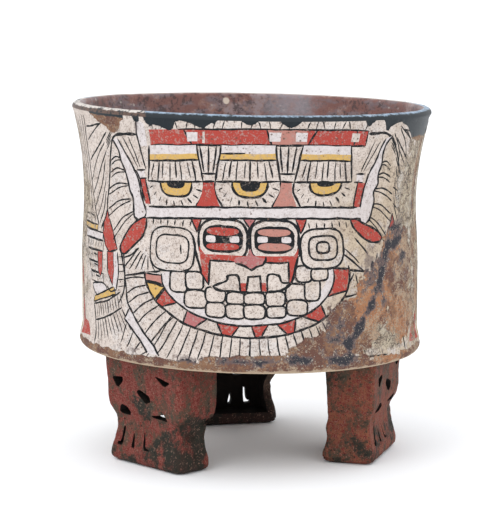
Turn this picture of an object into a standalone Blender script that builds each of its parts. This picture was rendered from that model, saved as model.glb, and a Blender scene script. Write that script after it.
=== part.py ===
"""Tripod vessel: a turned clay bowl on three hollow, pierced slab feet, fired as one piece.

Metres, +Z up. The painted face looks along -Y. The origin is on the ground, under the centre of the rim.
A foot's azimuth is counted from the front (-Y) clockwise, towards -X.
"""
from math import cos, pi, radians, sin, tan

import bmesh
import bpy
from mathutils import Vector

# Bowl
RIM_RADIUS = 0.0800
WAIST_RADIUS = 0.0744
BODY_RADIUS = 0.0755
BASE_RADIUS = 0.0768
HEIGHT = 0.1562
WAIST_HEIGHT = 0.1150
BODY_HEIGHT = 0.0860
BEAD_HEIGHT = 0.0580
WALL_THICKNESS = 0.0050
FLOOR_THICKNESS = 0.0065
BASAL_EDGE_RADIUS = 0.0032
INNER_CORNER_RADIUS = 0.0070
UNDERSIDE_RISE = 0.0008
# The bowl was pressed a little out of true: it leans to the right, and its rim flares further that way
LEAN = radians(1.09)
BASE_OFFSET = -0.0009

# Feet
FOOT_HEIGHT = 0.0473
FOOT_WIDTH = 0.0491
FOOT_DEPTH = 0.0220
FOOT_OUTER_FACE = 0.06445
FOOT_WALL = 0.0042
FOOT_SOLE = 0.0055
FOOT_EDGE_RADIUS = 0.0016
FOOT_ROOT = 0.0042
WAIST_DEPTH = 0.0034
FRONT_FOOT_AZIMUTH = 47.1

# Facets
TURNED_SEGMENTS = 80
WALL_LEVELS = 10
INNER_LEVELS = 7
ARC_SEGMENTS = 4
EDGE_SEGMENTS = 2
# How far a cutter stands past the face that it opens
CUT_MARGIN = 0.004
MERGE_DISTANCE = 0.00001

# How far a foot's faces lie in at each height, as shares of the foot's height and of the waist's depth
FOOT_STATIONS = (
    (0.00, 0.42), (0.06, 0.25), (0.13, 0.40), (0.225, 0.80), (0.315, 1.00),
    (0.42, 0.94), (0.513, 0.32), (0.62, 0.18), (0.79, 0.05), (1.00, -0.10),
)

# Hand-cut openings of a foot's outer wall: shares of half the foot's width and of its height
FOOT_OPENINGS = {
    "upper_triangle": ((0.81, 0.80), (0.52, 0.815), (0.51, 0.775), (0.675, 0.70)),
    "upper_wedge": ((-0.37, 0.88), (-0.53, 0.875), (-0.775, 0.845), (-0.615, 0.797)),
    "middle_block": ((0.06, 0.727), (-0.215, 0.68), (-0.235, 0.628), (-0.10, 0.60), (0.145, 0.693)),
    "lower_block": ((0.59, 0.55), (0.41, 0.53), (0.345, 0.495), (0.41, 0.448), (0.70, 0.459)),
    "lower_wedge": ((-0.20, 0.50), (-0.44, 0.516), (-0.54, 0.543), (-0.61, 0.465),
                    (-0.465, 0.475), (-0.255, 0.478)),
    "angled_slit": ((0.645, 0.330), (0.575, 0.335), (0.615, 0.150), (0.755, 0.155),
                    (0.745, 0.186), (0.675, 0.190)),
    "middle_slit": ((0.36, 0.285), (0.325, 0.278), (0.28, 0.152), (0.375, 0.156)),
    "hooked_slit": ((0.075, 0.320), (0.03, 0.26), (-0.012, 0.179), (-0.145, 0.158),
                    (0.008, 0.149), (0.066, 0.195)),
}

# Each foot: azimuth, and how far its openings drift sideways (share of half the width)
FEET = {
    "left_foot": (FRONT_FOOT_AZIMUTH, 0.00),
    "right_foot": (FRONT_FOOT_AZIMUTH - 120.0, -0.08),
    "back_foot": (FRONT_FOOT_AZIMUTH + 120.0, -0.20),
}

# How far each foot's hand-pressed inner face lies in at the heights of FOOT_STATIONS, as shares of the
# waist's depth; it stands out below zero
INNER_FACES = {
    "left_foot": (0.65, 0.53, 0.65, 0.91, 1.00, 0.65, -0.29, -0.41, -0.35, -0.35),
    "right_foot": (-0.53, -0.82, -0.56, -0.21, -0.41, 0.00, -0.03, -0.09, -0.15, -0.15),
    "back_foot": (0.41, 0.26, 0.41, 0.79, 1.00, 0.94, 0.32, 0.18, 0.05, -0.10),
}

CLAY_COLOUR = (0.62, 0.52, 0.44, 1.0)
CLAY_ROUGHNESS = 0.75


def smooth_step(share):
    """Ease from 0 to 1, flat at both ends."""
    share = min(max(share, 0.0), 1.0)
    return share * share * (3.0 - 2.0 * share)


def flare_share(z):
    """How far up the flaring part of the wall a height lies, from 0 at the waist to 1 at the lip."""
    flare_top = HEIGHT - 0.5 * WALL_THICKNESS
    return min(max((z - WAIST_HEIGHT) / (flare_top - WAIST_HEIGHT), 0.0), 1.0)


def outer_radius(z):
    """Radius of the outer wall: flared rim, waist, fuller body and a low bead at the base."""
    flare = (RIM_RADIUS - WAIST_RADIUS) * flare_share(z) ** 2
    body = (BODY_RADIUS - WAIST_RADIUS) * smooth_step((WAIST_HEIGHT - z) / (WAIST_HEIGHT - BODY_HEIGHT))
    bead_foot = FOOT_HEIGHT + BASAL_EDGE_RADIUS
    bead = (BASE_RADIUS - BODY_RADIUS) * smooth_step((BEAD_HEIGHT - z) / (BEAD_HEIGHT - bead_foot))
    return WAIST_RADIUS + flare + body + bead


def arc(centre, radius, start, end, count):
    """Points on an arc, both ends included, angles in radians."""
    angles = [start + (end - start) * step / count for step in range(count + 1)]
    return [(centre[0] + radius * cos(angle), centre[1] + radius * sin(angle)) for angle in angles]


def bowl_profile():
    """Closed half section, from the middle of the inner floor over the lip to the middle of the underside."""
    floor_height = FOOT_HEIGHT + FLOOR_THICKNESS
    lip_radius = 0.5 * WALL_THICKNESS
    lip_height = HEIGHT - lip_radius
    bead_foot = FOOT_HEIGHT + BASAL_EDGE_RADIUS
    corner_top = floor_height + INNER_CORNER_RADIUS
    inner_wall = outer_radius(corner_top) - WALL_THICKNESS

    corner_centre = (inner_wall - INNER_CORNER_RADIUS, corner_top)
    points = [(0.0, floor_height)]
    points += arc(corner_centre, INNER_CORNER_RADIUS, -0.5 * pi, 0.0, ARC_SEGMENTS)
    for level in range(1, INNER_LEVELS):
        z = corner_top + (lip_height - corner_top) * level / INNER_LEVELS
        points.append((outer_radius(z) - WALL_THICKNESS, z))
    points += arc((RIM_RADIUS - lip_radius, lip_height), lip_radius, pi, 0.0, ARC_SEGMENTS + 1)
    for level in range(1, WALL_LEVELS + 1):
        z = lip_height + (BEAD_HEIGHT - lip_height) * level / WALL_LEVELS
        points.append((outer_radius(z), z))
    middle_of_bead = 0.5 * (BEAD_HEIGHT + bead_foot)
    points.append((outer_radius(middle_of_bead), middle_of_bead))
    basal_centre = (BASE_RADIUS - BASAL_EDGE_RADIUS, bead_foot)
    points += arc(basal_centre, BASAL_EDGE_RADIUS, 0.0, -0.5 * pi, ARC_SEGMENTS)
    points.append((0.0, FOOT_HEIGHT + UNDERSIDE_RISE))
    return points


def mesh_object(name, mesh, collection):
    """A new object that shows a mesh, in a collection."""
    piece = bpy.data.objects.new(name, mesh)
    collection.objects.link(piece)
    return piece


def as_guide(piece):
    """Mark an object that only cuts or joins another."""
    piece.hide_render = True
    piece.display_type = "WIRE"
    return piece


def evaluated_mesh(source, name):
    """The mesh that an object shows, with loose seams welded, and the source removed."""
    bpy.context.view_layer.update()
    shown = source.evaluated_get(bpy.context.evaluated_depsgraph_get())
    mesh = bpy.data.meshes.new_from_object(shown)
    mesh.name = name
    work = bmesh.new()
    work.from_mesh(mesh)
    bmesh.ops.remove_doubles(work, verts=work.verts, dist=MERGE_DISTANCE)
    work.to_mesh(mesh)
    work.free()
    bpy.data.objects.remove(source)
    return mesh


def turned_bowl(collection):
    """The bowl: its half section turned about Z, then pressed out of true."""
    points = bowl_profile()
    profile = bpy.data.meshes.new("bowl_profile")
    edges = [(index, index + 1) for index in range(len(points) - 1)]
    profile.from_pydata([(radius, 0.0, z) for radius, z in points], edges, [])
    turning = mesh_object("bowl_profile", profile, collection)
    screw = turning.modifiers.new("turned", "SCREW")
    screw.steps = TURNED_SEGMENTS
    screw.render_steps = TURNED_SEGMENTS
    screw.use_merge_vertices = True
    screw.merge_threshold = MERGE_DISTANCE
    mesh = evaluated_mesh(turning, "bowl")
    for vertex in mesh.vertices:
        vertex.co.x += BASE_OFFSET * (1.0 - flare_share(vertex.co.z))
        vertex.co.z -= vertex.co.x * tan(LEAN)
    return mesh_object("tripod_vessel", mesh, collection)


def station_inset(z, shares):
    """How far a foot's face lies in at a height, from its shares of the waist's depth at the stations."""
    share = z / FOOT_HEIGHT
    heights = [station for station, _ in FOOT_STATIONS]
    for low, high, low_inset, high_inset in zip(heights, heights[1:], shares, shares[1:]):
        if share <= high:
            along = max(share - low, 0.0) / (high - low)
            return WAIST_DEPTH * (low_inset + (high_inset - low_inset) * along)
    return WAIST_DEPTH * shares[-1]


def waisted_block(name, width, outer_face, inner_face, bottom, inner_shares, collection):
    """An upright block whose faces follow the foot's waist, in the foot's own axes (X along, Y outward)."""
    waist_shares = [share for _, share in FOOT_STATIONS]
    top = FOOT_HEIGHT + FOOT_ROOT
    work = bmesh.new()
    bmesh.ops.create_cube(work, size=1.0)
    for vertex in work.verts:
        vertex.co.z = top if vertex.co.z > 0.0 else bottom
    for share, _ in FOOT_STATIONS:
        height = share * FOOT_HEIGHT
        if bottom < height < top:
            bmesh.ops.bisect_plane(
                work, geom=work.verts[:] + work.edges[:] + work.faces[:],
                plane_co=(0.0, 0.0, height), plane_no=(0.0, 0.0, 1.0))
    for vertex in work.verts:
        inset = station_inset(vertex.co.z, waist_shares)
        half_width = 0.5 * width - inset
        vertex.co.x = half_width if vertex.co.x > 0.0 else -half_width
        if vertex.co.y > 0.0:
            vertex.co.y = outer_face - inset
        else:
            vertex.co.y = inner_face + station_inset(vertex.co.z, inner_shares)
    mesh = bpy.data.meshes.new(name)
    work.to_mesh(mesh)
    work.free()
    return as_guide(mesh_object(name, mesh, collection))


def foot_opening_cutter(name, drift, collection):
    """One prism for each hand-cut opening, standing through the foot's outer wall."""
    curve = bpy.data.curves.new(name, "CURVE")
    curve.dimensions = "2D"
    curve.fill_mode = "BOTH"
    reach = 0.5 * (WAIST_DEPTH + FOOT_WALL) + CUT_MARGIN
    curve.extrude = reach
    for outline in FOOT_OPENINGS.values():
        spline = curve.splines.new("POLY")
        spline.points.add(len(outline) - 1)
        spline.use_cyclic_u = True
        for point, (along, up) in zip(spline.points, outline):
            point.co = (0.5 * FOOT_WIDTH * (along + drift), FOOT_HEIGHT * up, 0.0, 1.0)
    flat = mesh_object(name, curve, collection)
    mesh = evaluated_mesh(flat, name)
    middle = FOOT_OUTER_FACE - 0.5 * (WAIST_DEPTH + FOOT_WALL)
    for vertex in mesh.vertices:
        along, up, through = vertex.co
        vertex.co = Vector((along, middle - through, up))
    return as_guide(mesh_object(name, mesh, collection))


def add_boolean(piece, operation, other):
    """Cut or join one object by another."""
    modifier = piece.modifiers.new(other.name, "BOOLEAN")
    modifier.operation = operation
    modifier.solver = "EXACT"
    modifier.object = other


def pierced_foot(name, azimuth, drift, collection):
    """One hollow slab foot, open on its inner side, with its outer wall pierced."""
    inner_face = FOOT_OUTER_FACE - FOOT_DEPTH
    foot = waisted_block(name, FOOT_WIDTH, FOOT_OUTER_FACE, inner_face, 0.0, INNER_FACES[name], collection)
    rounding = foot.modifiers.new("rounded_edges", "BEVEL")
    rounding.width = FOOT_EDGE_RADIUS
    rounding.segments = EDGE_SEGMENTS
    rounding.limit_method = "ANGLE"
    rounding.angle_limit = radians(60.0)
    hollow = waisted_block(
        name + "_hollow", FOOT_WIDTH - 2.0 * FOOT_WALL, FOOT_OUTER_FACE - FOOT_WALL,
        inner_face - CUT_MARGIN, FOOT_SOLE, [0.0] * len(FOOT_STATIONS), collection)
    for vertex in hollow.data.vertices:
        if vertex.co.z > FOOT_HEIGHT:
            vertex.co.z += CUT_MARGIN
    openings = foot_opening_cutter(name + "_openings", drift, collection)
    for piece in (foot, hollow, openings):
        piece.location.x = BASE_OFFSET
        piece.rotation_euler.z = pi - radians(azimuth)
    add_boolean(foot, "DIFFERENCE", hollow)
    add_boolean(foot, "DIFFERENCE", openings)
    return foot


def clay_material():
    """Fired clay under worn slip and stucco."""
    material = bpy.data.materials.new("painted_clay")
    material.use_nodes = True
    shader = material.node_tree.nodes["Principled BSDF"]
    shader.inputs["Base Color"].default_value = CLAY_COLOUR
    shader.inputs["Roughness"].default_value = CLAY_ROUGHNESS
    shader.inputs["Metallic"].default_value = 0.0
    material.diffuse_color = CLAY_COLOUR
    return material


def main():
    """Build the vessel."""
    for leftover in list(bpy.data.objects):
        bpy.data.objects.remove(leftover)
    vessel_parts = bpy.data.collections.new("tripod_vessel")
    guides = bpy.data.collections.new("guides")
    for collection in (vessel_parts, guides):
        bpy.context.scene.collection.children.link(collection)

    vessel = turned_bowl(vessel_parts)
    for name, (azimuth, drift) in FEET.items():
        add_boolean(vessel, "UNION", pierced_foot(name, azimuth, drift, guides))
    vessel.data.materials.append(clay_material())
    vessel.data.shade_smooth()
    vessel.data.set_sharp_from_angle(angle=radians(35.0))


main()
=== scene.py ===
"""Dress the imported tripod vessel: a stuccoed, painted clay bowl on three hollow, pierced slab feet.

The bowl's wall is drawn as a chart, the wall unrolled flat: x runs along the wall in millimetres from the
middle of the painted face, to the viewer's right, and h is the height in millimetres above the ground. The
painting is a list of outlines on that chart. They are triangulated together, coloured and rolled up.
"""
import logging
from dataclasses import dataclass, field
from enum import Enum
from math import cos, pi, radians, sin, tan
from typing import Any, Iterable, Sequence

import bmesh
import bpy
import numpy as np
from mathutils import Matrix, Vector, noise
from mathutils.geometry import delaunay_2d_cdt


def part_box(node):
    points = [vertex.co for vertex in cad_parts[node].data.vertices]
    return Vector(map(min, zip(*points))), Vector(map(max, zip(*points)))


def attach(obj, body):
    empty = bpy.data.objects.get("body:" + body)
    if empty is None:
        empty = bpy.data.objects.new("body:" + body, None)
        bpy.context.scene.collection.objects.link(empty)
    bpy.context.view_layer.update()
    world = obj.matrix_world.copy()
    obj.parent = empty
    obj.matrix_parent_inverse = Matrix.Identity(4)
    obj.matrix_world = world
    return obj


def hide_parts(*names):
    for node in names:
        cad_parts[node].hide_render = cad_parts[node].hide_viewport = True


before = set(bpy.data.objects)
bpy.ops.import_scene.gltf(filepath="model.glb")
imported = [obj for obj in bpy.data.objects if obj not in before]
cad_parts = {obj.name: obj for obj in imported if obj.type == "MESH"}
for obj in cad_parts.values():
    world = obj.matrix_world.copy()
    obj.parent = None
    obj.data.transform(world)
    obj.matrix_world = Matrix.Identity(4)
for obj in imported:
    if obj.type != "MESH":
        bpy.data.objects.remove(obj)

LOG = logging.getLogger("tripod_vessel")
NODE = "tripod_vessel"
MM = 0.001
CHART_RADIUS = 0.0750
GIRTH = 2 * pi * CHART_RADIUS / MM
Point = tuple[float, float]
Triple = tuple[float, float, float]


def smooth_step(value: np.ndarray | float, low: float = 0.0, high: float = 1.0) -> Any:
    """Ease from 0 at low to 1 at high, flat at both ends.

    Args:
        value: One number or an array.
        low: Where the rise starts.
        high: Where it ends.

    Returns:
        The eased share, of the same shape as the value.
    """
    share = np.clip((value - low) / (high - low), 0.0, 1.0)
    return share * share * (3.0 - 2.0 * share)


def fractal(points: np.ndarray, size: float, octaves: int = 4, shift: float = 0.0) -> np.ndarray:
    """Cloudy noise, about -1 to 1.

    Args:
        points: Rows of two or three coordinates.
        size: Length of the largest features, in the same unit.
        octaves: Number of ever finer layers.
        shift: Moves the pattern, so that two fields differ.

    Returns:
        One number for each row.
    """
    rows = np.zeros((len(points), 3))
    rows[:, :points.shape[1]] = points
    rows = rows / size + shift
    return np.array([noise.fractal(Vector(row), 0.9, 2.1, octaves) for row in rows])


class Pigment(Enum):
    """The painter's colours, as linear red, green and blue, and whether they lie over the stucco."""

    STUCCO = (0.60, 0.53, 0.47, 0.0)
    WHITE = (0.66, 0.62, 0.63, 0.75)
    RED = (0.41, 0.062, 0.048, 1.0)
    PALE_RED = (0.43, 0.130, 0.095, 0.8)
    PINK = (0.42, 0.150, 0.150, 1.0)
    YELLOW = (0.62, 0.40, 0.125, 1.0)
    BLACK = (0.012, 0.014, 0.016, 1.6)


@dataclass(frozen=True)
class VesselForm:
    """The solid's own sizes in metres, with the rim's reach and height from the frame."""

    rim_radius: float
    top: float
    waist_radius: float = 0.0744
    body_radius: float = 0.0755
    base_radius: float = 0.0768
    waist_height: float = 0.1150
    body_height: float = 0.0860
    bead_height: float = 0.0580
    wall: float = 0.0050
    floor: float = 0.0065
    basal_edge: float = 0.0032
    inner_corner: float = 0.0070
    underside_rise: float = 0.0008
    lean: float = radians(1.09)
    base_offset: float = -0.0009
    foot_height: float = 0.0473
    columns: int = 360

    @property
    def height(self) -> float:
        """Height of the lip before the bowl leans."""
        return self.top - (self.rim_radius - 0.5 * self.wall) * tan(self.lean)

    @property
    def lip_height(self) -> float:
        """Height of the middle of the rounded lip."""
        return self.height - 0.5 * self.wall

    @property
    def bead_foot(self) -> float:
        """Height where the wall turns into the rounded basal edge."""
        return self.foot_height + self.basal_edge

    def flare(self, z: np.ndarray | float) -> Any:
        """Share of the way up the flaring part of the wall."""
        return np.clip((z - self.waist_height) / (self.lip_height - self.waist_height), 0.0, 1.0)

    def radius(self, z: np.ndarray | float) -> Any:
        """Radius of the outer wall at a height.

        Args:
            z: Height before the bowl leans.

        Returns:
            The radius in metres.
        """
        flare = (self.rim_radius - self.waist_radius) * self.flare(z) ** 2
        body = (self.body_radius - self.waist_radius) * smooth_step(-z, -self.waist_height,
                                                                    -self.body_height)
        bead = (self.base_radius - self.body_radius) * smooth_step(-z, -self.bead_height, -self.bead_foot)
        return self.waist_radius + flare + body + bead

    def place(self, angle: np.ndarray, radius: np.ndarray, z: np.ndarray) -> np.ndarray:
        """Stand turned points in the leaning bowl.

        Args:
            angle: Turn from the front, to the viewer's right, in radians.
            radius: Distance from the bowl's own axis.
            z: Height before the bowl leans.

        Returns:
            Rows of x, y and z in the frame.
        """
        x = self.base_offset * (1.0 - self.flare(z)) + radius * np.sin(angle)
        return np.stack([x, -radius * np.cos(angle), z - x * tan(self.lean)], axis=1)


def mirror(side: float, points: Iterable[Point]) -> list[Point]:
    """Points given for the right, on the right or, where the side is -1, mirrored to the left."""
    return [(side * x, h) for x, h in points]


def resampled(points: Sequence[Point] | np.ndarray, step: float) -> np.ndarray:
    """A path with points at most a step apart, that keeps its own points.

    Args:
        points: The path's points.
        step: About the distance between two points.

    Returns:
        Rows of x and h.
    """
    rows = np.asarray(points, float)
    kept = [rows[:1]]
    for start, end in zip(rows, rows[1:]):
        count = max(int(np.ceil(np.linalg.norm(end - start) / step)), 1)
        kept.append(start + (end - start) * (np.arange(1, count + 1) / count)[:, None])
    return np.concatenate(kept)


def curved(points: Sequence[Point], closed: bool = False, step: float = 1.5) -> np.ndarray:
    """A smooth curve through points, as a brush would draw it.

    Args:
        points: The points that the curve passes.
        closed: Whether it runs back to its start.
        step: Greatest distance between two points of the result.

    Returns:
        Rows of x and h. A closed curve repeats its first point at its end.
    """
    rows = np.asarray(points, float)
    if closed:
        rows = np.concatenate([rows[-1:], rows, rows[:2]])
    else:
        rows = np.concatenate([2 * rows[:1] - rows[1:2], rows, 2 * rows[-1:] - rows[-2:-1]])
    parts = []
    for before, start, end, after in zip(rows, rows[1:], rows[2:], rows[3:]):
        count = max(int(np.ceil(np.linalg.norm(end - start) / step)), 2)
        t = (np.arange(count) / count)[:, None]
        parts.append(0.5 * (2 * start + (end - before) * t
                            + (2 * before - 5 * start + 4 * end - after) * t ** 2
                            + (3 * start - before - 3 * end + after) * t ** 3))
    parts.append(rows[-2:-1])
    return np.concatenate(parts)


def ellipse(centre: Point, reach: Point, start: float = 0.0, end: float = 360.0,
            step: float = 1.6) -> np.ndarray:
    """An arc of an ellipse, angles in degrees from +x towards +h.

    Args:
        centre: Its middle.
        reach: Half its width and height.
        start: Where it starts.
        end: Where it ends.
        step: About the distance between two points.

    Returns:
        Rows of x and h.
    """
    count = max(int(np.ceil(radians(abs(end - start)) * max(reach) / step)), 6)
    angles = np.radians(np.linspace(start, end, count + 1))
    return np.stack([centre[0] + reach[0] * np.cos(angles), centre[1] + reach[1] * np.sin(angles)], axis=1)


def cushion(centre: Point, reach: Point, squareness: float = 3.2, step: float = 1.6) -> np.ndarray:
    """A closed rounded square: a superellipse that is squarer as the power grows.

    Args:
        centre: Its middle.
        reach: Half its width and height.
        squareness: The power.
        step: About the distance between two points.

    Returns:
        Rows of x and h.
    """
    count = max(int(np.ceil(2 * pi * max(reach) / step)), 12)
    angles = np.linspace(0.0, 2 * pi, count + 1)
    across = np.sign(np.cos(angles)) * np.abs(np.cos(angles)) ** (2 / squareness)
    up = np.sign(np.sin(angles)) * np.abs(np.sin(angles)) ** (2 / squareness)
    return np.stack([centre[0] + reach[0] * across, centre[1] + reach[1] * up], axis=1)


@dataclass
class Chart:
    """The unrolled wall and everything painted on it, in painter's order."""

    left: float
    right: float
    bottom: float
    top: float
    line: float = 0.95
    fine_line: float = 0.62
    wobble: float = 0.34
    wobble_size: float = 7.0
    origin: float = 0.0
    mirrored: bool = False
    outlines: list[np.ndarray] = field(default_factory=list)
    pigments: list[Pigment] = field(default_factory=list)

    def stand_at(self, origin: float, mirrored: bool = False) -> None:
        """Draw what follows about another upright line, or mirrored about it."""
        self.origin = origin
        self.mirrored = mirrored

    def _add(self, outline: np.ndarray, pigment: Pigment) -> None:
        """Keep one outline, wavered as by a hand and held inside the chart.

        Args:
            outline: Rows of x and h.
            pigment: Its colour.
        """
        rows = np.array(outline, float)
        if self.mirrored:
            rows[:, 0] *= -1.0
        rows[:, 0] += self.origin
        rows[:, 0] += self.wobble * fractal(rows, self.wobble_size, 3, 11.3)
        rows[:, 1] += self.wobble * fractal(rows, self.wobble_size, 3, 47.9)
        rows[:, 0] = np.clip(rows[:, 0], self.left, self.right)
        rows[:, 1] = np.clip(rows[:, 1], self.bottom, self.top)
        self.outlines.append(rows)
        self.pigments.append(pigment)

    def fill(self, points: Sequence[Point] | np.ndarray, pigment: Pigment) -> None:
        """Lay one flat colour inside an outline."""
        rows = np.asarray(points, float)
        self._add(resampled(np.concatenate([rows, rows[:1]]), 4.0)[:-1], pigment)

    def stroke(self, points: Sequence[Point] | np.ndarray, width: float = 0.0,
               pigment: Pigment = Pigment.BLACK) -> None:
        """Draw a brush line whose width swells a little along it and thins at its ends.

        Args:
            points: The line's path.
            width: Its width, or 0 for the chart's own line.
            pigment: Its colour.
        """
        width = width or self.line
        rows = resampled(points, 2.2)
        along = np.gradient(rows, axis=0)
        along /= np.maximum(np.linalg.norm(along, axis=1, keepdims=True), 1e-6)
        across = np.stack([-along[:, 1], along[:, 0]], axis=1)
        walked = np.concatenate([[0.0], np.cumsum(np.linalg.norm(np.diff(rows, axis=0), axis=1))])
        swell = 1.0 + 0.16 * np.sin(1.1 * walked + 3.7 * rows[0, 0]) \
            + 0.10 * np.sin(2.9 * walked + rows[0, 1])
        ends = np.clip(0.45 + np.minimum(walked, walked[-1] - walked) / (1.6 * width), 0.0, 1.0)
        half = (0.5 * width * swell * ends)[:, None]
        self._add(np.concatenate([rows + across * half, (rows - across * half)[::-1]]), pigment)

    def edge(self, points: Sequence[Point] | np.ndarray, width: float = 0.0) -> None:
        """Outline straight sides one by one, so that their corners stay sharp.

        Args:
            points: The corners.
            width: Width of the line, or 0 for the chart's own.
        """
        rows = [tuple(row) for row in np.asarray(points, float)]
        for start, end in zip(rows, rows[1:] + rows[:1]):
            self.stroke([start, end], width)

    def block(self, points: Sequence[Point], pigment: Pigment, width: float = 0.0) -> None:
        """A straight-sided field with its outline."""
        self.fill(points, pigment)
        self.edge(points, width)

    def disc(self, outline: np.ndarray, pigment: Pigment, width: float = 0.0) -> None:
        """A curved field with its outline."""
        self.fill(outline[:-1], pigment)
        self.stroke(np.concatenate([outline, outline[1:2]]), width)


@dataclass
class GoggledMask:
    """A frontal mask in a feathered headdress, of a traditional goggle-eyed kind.

    Heights and places are millimetres on the chart, about the mask's own middle. Angles are degrees.
    """

    plain: bool = False
    rim: float = 154.6
    band: tuple[float, float] = (150.2, 143.6)
    band_reach: tuple[float, float] = (-43.4, 50.2)
    brow: float = 140.0
    lash: tuple[float, float] = (137.3, 128.3)
    bar: tuple[float, float] = (117.5, 112.8)
    bar_reach: tuple[float, float] = (-47.0, 51.0)
    sag: float = 1.75
    tilt: float = 0.75
    panels: tuple[float, ...] = (-33.4, -1.2, 31.9)
    panel_reach: tuple[float, float] = (10.9, 13.4)
    wedges: tuple[float, ...] = (-17.6, 14.9)
    goggle: Triple = (10.9, 10.3, 8.6)
    goggle_height: float = 103.7
    ear: tuple[float, float] = (32.6, 98.9)
    ear_reach: tuple[float, float] = (10.5, 9.3)
    collar: Triple = (88.0, 47.2, 25.2)
    crescent: tuple[float, float] = (38.8, 20.2)
    right_share: float = 0.943
    feather_bottom: float = 51.0
    teeth: tuple[tuple[float, float, float, float, Pigment], ...] = (
        (182.0, 193.0, 181.5, 188.5, Pigment.PALE_RED), (195.5, 196.5, 190.0, 207.0, Pigment.YELLOW),
        (198.0, 216.5, 208.5, 214.5, Pigment.RED), (227.0, 243.0, 233.0, 240.0, Pigment.PINK),
        (249.0, 263.5, 256.0, 260.5, Pigment.RED), (271.0, 282.0, 273.0, 276.0, Pigment.RED),
        (287.5, 302.0, 291.0, 295.0, Pigment.RED), (307.0, 326.0, 312.0, 318.0, Pigment.RED),
        (335.0, 370.0, 346.0, 367.0, Pigment.RED),
    )
    beads: tuple[tuple[float, float, float, float], ...] = (
        (-30.6, 85.3, 4.0, 4.6), (-23.4, 86.0, 4.0, 3.9), (-23.0, 78.3, 5.0, 3.8),
        (-14.5, 80.6, 4.3, 3.4), (-14.4, 74.2, 4.3, 3.2), (-6.0, 79.4, 3.8, 2.6), (-6.0, 73.9, 4.1, 3.1),
        (1.8, 79.3, 4.3, 2.6), (1.9, 73.8, 4.6, 3.1), (10.7, 79.4, 4.3, 3.3), (11.1, 73.8, 4.2, 2.6),
        (19.5, 81.6, 4.5, 4.0), (20.0, 75.5, 4.5, 3.3), (26.5, 82.8, 3.7, 4.5),
        (22.8, 89.8, 3.7, 3.5), (29.8, 89.6, 3.8, 3.0),
    )

    def level(self, x: float, h: float) -> Point:
        """A point of a row that hangs lower towards its ends, most at the left."""
        share = x / self.bar_reach[1]
        return x, h - self.sag * share ** 2 + self.tilt * share

    def row(self, start: float, end: float, h: float) -> list[Point]:
        """The points of a hanging row between two places."""
        steps = np.linspace(start, end, max(int(abs(end - start) / 6.0), 1) + 1)
        return [self.level(float(x), h) for x in steps]

    def paint(self, chart: Chart) -> None:
        """Paint the whole mask, from the feathers at the back to the face in front.

        Args:
            chart: The chart to paint on.
        """
        self.paint_feather_fan(chart)
        self.paint_headdress_band(chart)
        for index, middle in enumerate(self.panels):
            self.paint_eye_panel(chart, middle, index)
        for middle in self.wedges:
            self.paint_wedge(chart, middle)
        for side in (-1.0, 1.0):
            self.paint_bundle(chart, side)
            self.paint_flank(chart, side)
            self.paint_jaw(chart, side)
        self.paint_collar(chart)
        self.paint_beads(chart)
        for side in (-1.0, 1.0):
            self.paint_ear_disc(chart, side)
            self.paint_goggle(chart, side)
        self.paint_bar(chart)
        self.paint_mouth(chart)

    def paint_feather_fan(self, chart: Chart) -> None:
        """Long feathers that spread below the collar, down to the basal edge.

        Args:
            chart: The chart to paint on.
        """
        low, wide, deep = self.collar
        count = 15 if self.plain else 21
        for index in range(count):
            angle = radians(222.0 + 96.0 * (index + 0.5) / count)
            start = (wide * cos(angle), low + deep * sin(angle))
            drop = start[1] - self.feather_bottom
            lean = 0.62 * cos(angle) / max(-sin(angle), 0.3)
            end = (start[0] + lean * drop, self.feather_bottom + 1.6 * ((index * 3) % 4) / 3.0)
            chart.stroke([start, end], 0.75 if index % 3 == 1 else chart.fine_line)

    def paint_headdress_band(self, chart: Chart) -> None:
        """The short feathers under the rim and the red band with white squares.

        Args:
            chart: The chart to paint on.
        """
        top, low = self.band
        left, right = self.band_reach
        count = 25
        for index in range(count):
            x = left + (right - left) * (index + 0.5) / count
            lean = 1.6 * sin(index * 1.9)
            if (index * 5) % 7 != 3:
                chart.stroke([self.level(x, top + 0.2), self.level(x + lean, self.rim)], chart.fine_line)
        if not self.plain:
            chart.fill([(-49.0, 153.0), (-45.6, 150.6), (-45.2, 141.3), (-48.6, 140.8), (-50.2, 146.6)],
                       Pigment.WHITE)
            chart.stroke([(-49.4, 153.0), (-50.2, 146.6), (-48.6, 138.4), (-46.8, 131.0)], 0.75)
        chart.fill(self.row(left, right, low) + self.row(right, left, top), Pigment.RED)
        if not self.plain:
            chart.fill([self.level(x, h) for x, h in ((7.4, low), (22.6, low), (22.0, top), (5.4, top))],
                       Pigment.PALE_RED)
        chart.stroke(self.row(-30.0, right, top), 0.75)
        chart.stroke(self.row(left, right, low))
        chart.stroke([self.level(right, top), self.level(right, low)], 0.8)
        for x, lean in ((-27.7, 3.4), (5.6, 2.4), (26.6, -3.8), (44.6, -0.6)):
            chart.stroke([self.level(x, top), self.level(x + lean, low)])
        for x in (-24.1, 9.2, 20.0):
            square = [self.level(x + dx, h)
                      for dx, h in ((-2.2, 145.2), (2.2, 145.2), (2.4, 149.0), (-2.4, 149.0))]
            chart.fill(square, Pigment.WHITE)
        chart.fill([self.level(x, h)
                    for x, h in ((42.2, 145.4), (46.2, 145.4), (46.2, 149.0), (42.2, 149.0))],
                   Pigment.STUCCO)
        chart.fill([self.level(x, h)
                    for x, h in ((-19.9, 144.4), (-18.9, 144.4), (-18.6, 149.2), (-19.6, 149.2))],
                   Pigment.STUCCO)

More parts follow.
